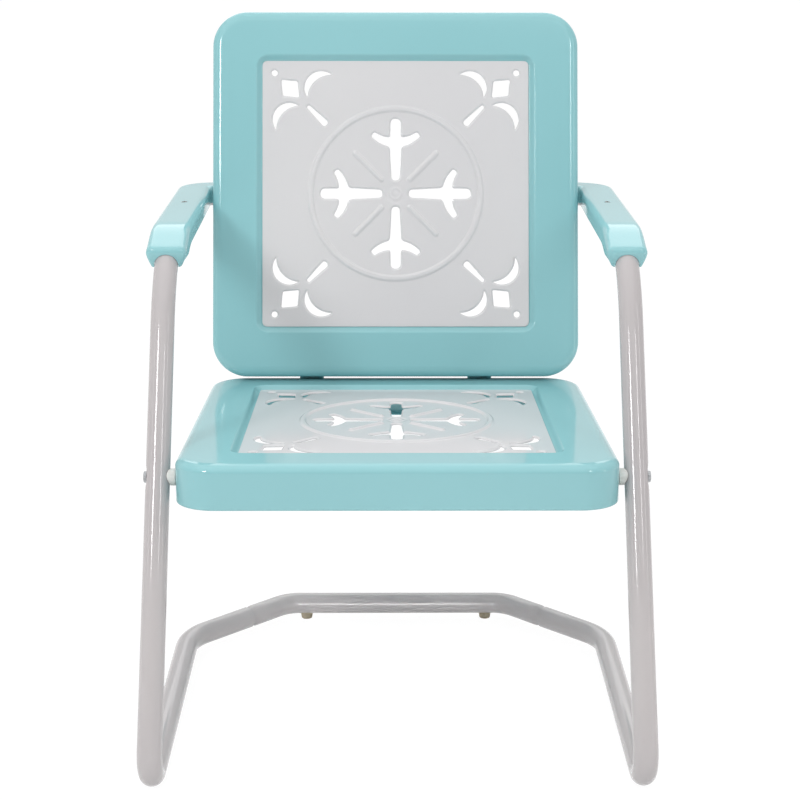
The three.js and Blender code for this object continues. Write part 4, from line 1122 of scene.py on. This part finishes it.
def arch_point(across, above, place, up):
    """Where the tube's skin leaves the cover's front, in the direction of a section point."""
    centre_line = shoulder_start + shoulder_axis.cross(arm_forward) * SHOULDER_BEND
    out = place - centre_line
    out -= shoulder_axis * out.dot(shoulder_axis)
    tilt = out.angle(up)
    drop = out.length - SHOULDER_BEND
    middle = -drop / math.cos(tilt)
    angle = math.atan2(above - middle, across)
    return ARCH_RADIUS * math.cos(angle), middle + ARCH_RADIUS / math.cos(tilt) * math.sin(angle)


print("cover:", len(channel_section()), "points across,", len(cover_line()), "stations along")

# %% Press the covers
SCREW_DIMPLE, SCREW_DIMPLE_DEPTH = 6.4 * MM, 1.4 * MM
UNDER_COVER = 0.4  # share of the way down the arm, at a place inside the channel


def press_cover():
    """Lays the blank along its line, rolls its front over, and presses the screw's dimple."""
    section, line = channel_section(), cover_line()
    end, along, up = line[-1]
    front = end + along * NOSE_LENGTH

    def tucked(across, above, before_end):
        """The skirts draw in towards the front, most at their lower edge."""
        low = (COVER_TOP - COVER_EDGE - above) / (COVER_TOP - COVER_EDGE - COVER_BOTTOM)
        low = min(max(low, 0), 1)
        tuck = JOWL_TUCK * soft_step(1 - before_end / JOWL_RUN) * low ** JOWL_CURVE
        return across - math.copysign(tuck, across)

    def place(column, row):
        """Rows past the line's end roll forward and close round the tube."""
        across, above = section[column]
        if row < len(line):
            here, forward, rise = line[row]
            across = tucked(across, above, (end - here).length)
            return here + forward.cross(rise) * across + rise * above
        across = tucked(across, above, 0)
        roll = math.pi / 2 * (row - len(line) + 1) / NOSE_STEPS
        arch_across, arch_above = arch_point(across, above, front, up)
        share = 1 - math.cos(roll)
        return (end + along * NOSE_LENGTH * math.sin(roll)
                + along.cross(up) * (across + (arch_across - across) * share)
                + up * (above + (arch_above - above) * share))

    cover = bend_blank("right_arm_cover_pressed", len(section), len(line) + NOSE_STEPS, place)
    leave_edit(under=arm_corner.lerp(shoulder, UNDER_COVER))
    apply_modifier(cover, "SOLIDIFY", thickness=COVER_SHEET, offset=-1.0)
    rise = line[len(line) // 2][2]
    for vertex in cover.data.vertices:
        offset = vertex.co - screw_centre
        height = offset.dot(rise)
        away = (offset - rise * height).length
        if height > COVER_TOP - COVER_SHEET / 2 and away < SCREW_DIMPLE:
            vertex.co -= rise * SCREW_DIMPLE_DEPTH * (1 + math.cos(math.pi * away / SCREW_DIMPLE)) / 2
    return cover


right_cover = press_cover()
left_cover = turned_copy(right_cover, "left_arm_cover_pressed", MIRROR_X)
for side, cover in zip(SIDES, (right_cover, left_cover)):
    finish_piece(cover, "seat_unit", turquoise_enamel,
                 SHEET_SMOOTH, f"{side}_arm_cover")
print("arm cover:", len(right_cover.data.polygons), "faces")

# %% [markdown]
# ## Turned and headed pieces
#
# Feet, spacers, screws and bolts are turned from loops as well: each has a profile of radii and
# heights, and wherever a piece meets the round of a tube its loop follows the tube.

# %% Turn a small piece
TURN_POINTS = 48
FIT = 0.3  # millimetres of room between a piece and what it bears on


def circle(radius):
    return arc(0, 0, radius, 0, 360, TURN_POINTS)[:-1]


def hexagon(across):
    """A hexagon with as many points as a circle, so that the two can be bridged."""
    points = []
    for point in circle(1.0):
        angle = math.atan2(point.y, point.x)
        from_flat = (angle + math.pi / 6) % (math.pi / 3) - math.pi / 6
        points.append(point * (across / 2 / math.cos(from_flat)))
    return points


def turn_piece(name, loops):
    """A closed piece through loops of (outline, height), from its lower end to its upper end."""
    piece, loop = start_loop(name, *loops[0])
    bpy.ops.mesh.edge_face_add()
    cap(carry_on(loop, loops[1:]))
    bpy.ops.mesh.select_all(action="SELECT")
    bpy.ops.mesh.normals_make_consistent(inside=False)
    bpy.ops.object.mode_set(mode="OBJECT")
    return piece


def saddle(outline, bottom, lift=0.0):
    """Heights of a loop that hugs a tube whose underside is at a height, lifted off it or not."""
    radius = TUBE_RADIUS / MM + FIT
    middle = bottom + TUBE_RADIUS / MM
    return [middle - math.sqrt(radius ** 2 - point.y ** 2) + lift for point in outline]


def set_down(place, upward, sideways):
    """The frame that carries a turned piece to its place, its axis upward."""
    forward = upward.cross(sideways).normalized()
    turn = Matrix((sideways, forward, upward)).transposed().to_4x4()
    return Matrix.Translation(place) @ turn


print("points round a turned piece:", len(circle(1.0)))

# %% Feet
FOOT_SIDE = 126 * MM
FOOT_HEIGHT = (wing_height - TUBE_RADIUS) / MM
FOOT_RADIUS = 8.4
# radius and height from the floor up, then radius and lift of the rings in the saddle
FOOT_PROFILE = [(6.4, 0.0), (7.0, 0.12), (7.4, 0.6), (7.9, 3.5), (FOOT_RADIUS, FOOT_HEIGHT + 0.6)]
FOOT_LIP, FOOT_SADDLE = 0.8, [(8.2, 0.95), (7.8, 0.8), (7.2, 0.1)]


def make_foot():
    rim = circle(FOOT_RADIUS)
    loops = [(circle(radius), height) for radius, height in FOOT_PROFILE]
    loops.append((rim, saddle(rim, FOOT_HEIGHT, FOOT_LIP)))
    for radius, lift in FOOT_SADDLE:
        ring = circle(radius)
        loops.append((ring, saddle(ring, FOOT_HEIGHT - FIT, lift)))
    return turn_piece("rear_foot_moulded", loops)


foot = make_foot()
foot_place = Matrix.Translation((FOOT_SIDE, FOOT_DEPTH - FRAME_SHIFT, 0))
for side in SIDES:
    set_copy(foot, side, foot_place, "base", foot_rubber, PANEL_SMOOTH, "rear_foot")
print("foot:", len(foot.data.polygons), "faces")
bpy.data.objects.remove(foot)

# %% Seat bolts and their spacers
SPACER_LENGTH, SPACER_RADIUS = 7.2, 10.0
HEAD_ACROSS, HEAD_HEIGHT, HEAD_CHAMFER, CHAMFER_START = 12.4, 3.8, 0.5, 0.93
WASHER_FACE, WASHER_FACE_CUT, BREAK = 0.3, 0.2, 0.5  # BREAK takes off a sharp edge
SHANK_RADIUS, HOLLOW_RADIUS, LIP_DROP = 3.0, 6.0, 0.4


def make_bolt(shank):
    """A hex bolt: washer face, chamfered head and shank, with its head above nought."""
    outline = hexagon(HEAD_ACROSS)
    face = circle(HEAD_ACROSS / 2 - WASHER_FACE_CUT)
    top = HEAD_ACROSS / 2 * CHAMFER_START
    chamfer = [HEAD_HEIGHT - (point.length - top) * HEAD_CHAMFER for point in outline]
    return turn_piece("seat_bolt_headed", [
        (circle(SHANK_RADIUS - BREAK), -shank), (circle(SHANK_RADIUS), BREAK - shank),
        (circle(SHANK_RADIUS), 0.0), (face, 0.02), (face, WASHER_FACE),
        (outline, WASHER_FACE + 0.1), (outline, chamfer),
        (circle(top), HEAD_HEIGHT - 0.02), (circle(top - BREAK), HEAD_HEIGHT),
    ])


def make_spacer():
    """A round block with a flat foot and a saddle that the leg lies in."""
    rim, lip = circle(SPACER_RADIUS), circle(SPACER_RADIUS - BREAK)
    bottom = SPACER_LENGTH - FIT
    return turn_piece("seat_spacer_moulded", [
        (lip, FIT), (circle(SPACER_RADIUS - 0.15), FIT + 0.15),
        (rim, FIT + BREAK), (rim, saddle(rim, bottom, -LIP_DROP)),
        *((ring, saddle(ring, bottom))
          for ring in (lip, circle(HOLLOW_RADIUS), circle(SHANK_RADIUS + FIT))),
    ])


bolt_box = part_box("right_seat_bolt")
bolt = make_bolt((bolt_box[1][0] - bolt_box[0][0]) / MM - HEAD_HEIGHT)
spacer = make_spacer()
head = set_down(seat_bolt + OUTWARD * (TUBE_RADIUS - FLAT_DEPTH), OUTWARD, LEG_DOWN)
block = set_down(seat_bolt - OUTWARD * (TUBE_RADIUS + SPACER_LENGTH * MM), OUTWARD, LEG_DOWN)
for side in SIDES:
    set_copy(bolt, side, head, "seat_unit", zinc, HEAD_SMOOTH, "seat_bolt")
    set_copy(spacer, side, block, "seat_unit", nylon, SHEET_SMOOTH, "seat_spacer")
for pattern in (bolt, spacer):
    print(pattern.name, len(pattern.data.polygons), "faces")
    bpy.data.objects.remove(pattern)

# %% The screws of the arm covers
SCREW_RADIUS, SCREW_LENGTH, SCREW_SHANK, SCREW_PROUD = 4.2, 10.0, 2.0, 0.25
CROSS_REACH, CROSS_HALF_WIDTH, CROSS_DROP, CROSS_TAPER = 2.9, 0.65, 1.6, 0.75
# radius and height of the head, from the shank over its rim to the edge of the cross
SCREW_HEAD = [
    (SCREW_SHANK, -2.6), (SCREW_RADIUS - 0.1, -0.75), (SCREW_RADIUS, -0.6),
    (SCREW_RADIUS - 0.15, -0.42), (3.4, -0.15), (3.0, -0.08),
]


def cross_outline(reach, half_width):
    """A cross with rounded arms, one point for each point of a circle."""
    points = []
    for point in circle(1.0):
        angle = math.atan2(point.y, point.x)
        arm = (angle + math.pi / 4) % (math.pi / 2) - math.pi / 4
        length = min(reach, half_width / max(abs(math.sin(arm)), 0.001))
        points.append(point * max(length, half_width))
    return points


def make_screw():
    """A pointed shank, a head and, sunk into it, a cross that narrows downwards."""
    cross = cross_outline(CROSS_REACH, CROSS_HALF_WIDTH)
    return turn_piece("arm_cover_screw_headed", [
        (circle(0.3), -SCREW_LENGTH), (circle(SCREW_SHANK), SCREW_SHANK - SCREW_LENGTH),
        *((circle(radius), height) for radius, height in SCREW_HEAD),
        (cross, 0.0), ([point * CROSS_TAPER for point in cross], -CROSS_DROP),
    ])


screw = make_screw()
arm_rise = OUTWARD.cross(-arm_forward).normalized()
screw_seat = set_down(screw_centre + arm_rise * (COVER_TOP + SCREW_PROUD * MM), arm_rise, OUTWARD)
for side in SIDES:
    # the screws take the zinc painted dark as painted shade
    set_copy(screw, side, screw_seat, "seat_unit", shade_darkened_zinc, HEAD_SMOOTH,
             "arm_cover_screw")
print("screw:", len(screw.data.polygons), "faces")
bpy.data.objects.remove(screw)

# %% [markdown]
# ## Finishes for the rest of the frame
#
# The measured pieces that stay in view, such as the plates, strips and fasteners behind the seat
# and the back, take their finish by their kind. Object coordinates run through the whole chair,
# so grain and ripple keep their real size on every piece.

# %% Give the carried-over pieces their finishes
FINISH_OF_SLOT = {
    "pan_enamel": turquoise_enamel, "tile_enamel": panel_enamel, "frame_enamel": tube_enamel,
    "zinc_steel": zinc, "white_plastic": nylon, "foot_rubber": foot_rubber,
}
for row in frame["record"]["subparts"]:
    node = frame["nodes"][row["node"]]
    node.data.materials.clear()
    node.data.materials.append(FINISH_OF_SLOT[row["material_slot"]])
print("finishes given to", len(frame["nodes"]), "frame pieces")

# %% [markdown]
# ## Floor and light
#
# The chair stands on a white sweep. Its floor is lifted to white for the camera, part way, so
# that soft shadows stay visible under the feet. A broad lamp overhead and a large one behind give
# the soft light. A small bright one at the front left draws the sharp lines along rolled edges
# and tubes, and a fainter one answers it from the right. Two upright strips give the sides of the
# tubes their edges of light, and a weak narrow one reaches the tube at the floor. The room is
# white to the eye and in light, but darker in front, so that gloss has something to show.

# %% The floor
FLOOR_HALF = 30.0
SWEEP_GREY, SWEEP_ROUGHNESS = 0.85, 0.9
GLOW_STRENGTH, GLOW_SHARE = 1.06, 0.9


def ray_is(tree, *kinds):
    """One where the ray is of one of the kinds, otherwise nought."""
    path = add_node(tree, "ShaderNodeLightPath")
    value = path.outputs[kinds[0]]
    for kind in kinds[1:]:
        value = add_node(
            tree, "ShaderNodeMath", settings={"operation": "MAXIMUM"},
            links={0: value, 1: path.outputs[kind]},
        ).outputs["Value"]
    return value


def sweep_white():
    """Matt white that takes shadows, mostly glowing where the eye or a reflection meets it."""
    material, tree, shader, _ = start_material("studio_white")
    shader.inputs["Base Color"].default_value = grey(SWEEP_GREY)
    shader.inputs["Roughness"].default_value = SWEEP_ROUGHNESS
    glow = add_node(
        tree, "ShaderNodeEmission", inputs={"Color": grey(1.0), "Strength": GLOW_STRENGTH}
    )
    share = add_node(
        tree, "ShaderNodeMath", settings={"operation": "MULTIPLY"}, inputs={1: GLOW_SHARE},
        links={0: ray_is(tree, "Is Camera Ray", "Is Glossy Ray")},
    )
    blend = add_node(
        tree, "ShaderNodeMixShader",
        links={0: share.outputs["Value"], 1: shader.outputs["BSDF"], 2: glow.outputs["Emission"]},
    )
    output = next(n for n in tree.nodes if n.type == "OUTPUT_MATERIAL")
    wire(output, {"Surface": blend.outputs["Shader"]})
    return material


clear_selection()
bpy.ops.mesh.primitive_plane_add(size=2 * FLOOR_HALF, location=(0, 0, 0))
floor = bpy.context.object
floor.name = "studio_floor"
floor.data.materials.append(sweep_white())
print("floor:", floor.name)

# %% The lamps
MIDDLE, TUBE_AT_FLOOR = Vector((0, 0, 0.42)), Vector((0, 0.14, 0.03))
LAMPS = [
    # name, place, aim, width and height, spread in degrees, strength
    ("overhead_softbox", (-0.2, -0.7, 3.2), MIDDLE, (4.4, 4.0), 180, 38),
    ("key_softbox", (-1.75, -2.3, 2.25), MIDDLE, (0.5, 0.75), 180, 28),
    ("right_softbox", (1.75, -2.3, 2.25), MIDDLE, (0.3, 0.75), 180, 8),
    ("left_strip", (-2.3, -0.9, 1.0), MIDDLE, (0.2, 2.2), 180, 2),
    ("right_strip", (2.3, -0.8, 1.0), MIDDLE, (0.2, 2.2), 180, 5),
    ("rear_softbox", (0.0, 3.0, 2.8), MIDDLE, (3.6, 2.4), 180, 34),
    ("low_fill", (0.0, -1.7, 0.3), TUBE_AT_FLOOR, (0.5, 0.12), 16, 0.08),
]

for name, place, aim, (width, height), spread, strength in LAMPS:
    bpy.ops.object.light_add(type="AREA", location=place)
    lamp = bpy.context.object
    lamp.name = name
    lamp.data.shape = "RECTANGLE"
    lamp.data.size, lamp.data.size_y = width, height
    lamp.data.spread = math.radians(spread)
    lamp.data.energy = strength
    lamp.rotation_euler = (aim - Vector(place)).to_track_quat("-Z", "Y").to_euler()
print("lamps:", len(LAMPS))

# %% The white room
# how bright the room is at its front and at its rear, for light and in reflections
ROOM_LIGHT, ROOM_SHINE = (0.44, 0.78), (0.25, 0.8)
ROOM_FRONT, ROOM_REAR = -0.6, 0.4

world = bpy.data.worlds.new("studio_room")
bpy.context.scene.world = world
world.use_nodes = True
room = world.node_tree
direction = add_node(room, "ShaderNodeTexCoord").outputs["Generated"]
depth = add_node(room, "ShaderNodeSeparateXYZ", links={"Vector": direction}).outputs["Y"]


def from_front_to_rear(values):
    """A value that goes from the first in front of the room to the second behind."""
    return add_node(
        room, "ShaderNodeMapRange",
        inputs={"From Min": ROOM_FRONT, "From Max": ROOM_REAR,
                "To Min": values[0], "To Max": values[1]},
        links={"Value": depth},
    ).outputs["Result"]


strength = add_node(
    room, "ShaderNodeMix",
    links={"Factor": ray_is(room, "Is Glossy Ray"),
           "A": from_front_to_rear(ROOM_LIGHT), "B": from_front_to_rear(ROOM_SHINE)},
)
shown = add_node(
    room, "ShaderNodeMix", inputs={"B": 1.0},
    links={"Factor": ray_is(room, "Is Camera Ray"), "A": strength.outputs["Result"]},
)
backdrop = room.nodes["Background"]
backdrop.inputs["Color"].default_value = grey(1.0)
wire(backdrop, {"Strength": shown.outputs["Result"]})
print("room light from front to rear:", ROOM_LIGHT)

# %% Keep the picture plain
bpy.context.scene.view_settings.view_transform = "Standard"
print("view transform:", bpy.context.scene.view_settings.view_transform)
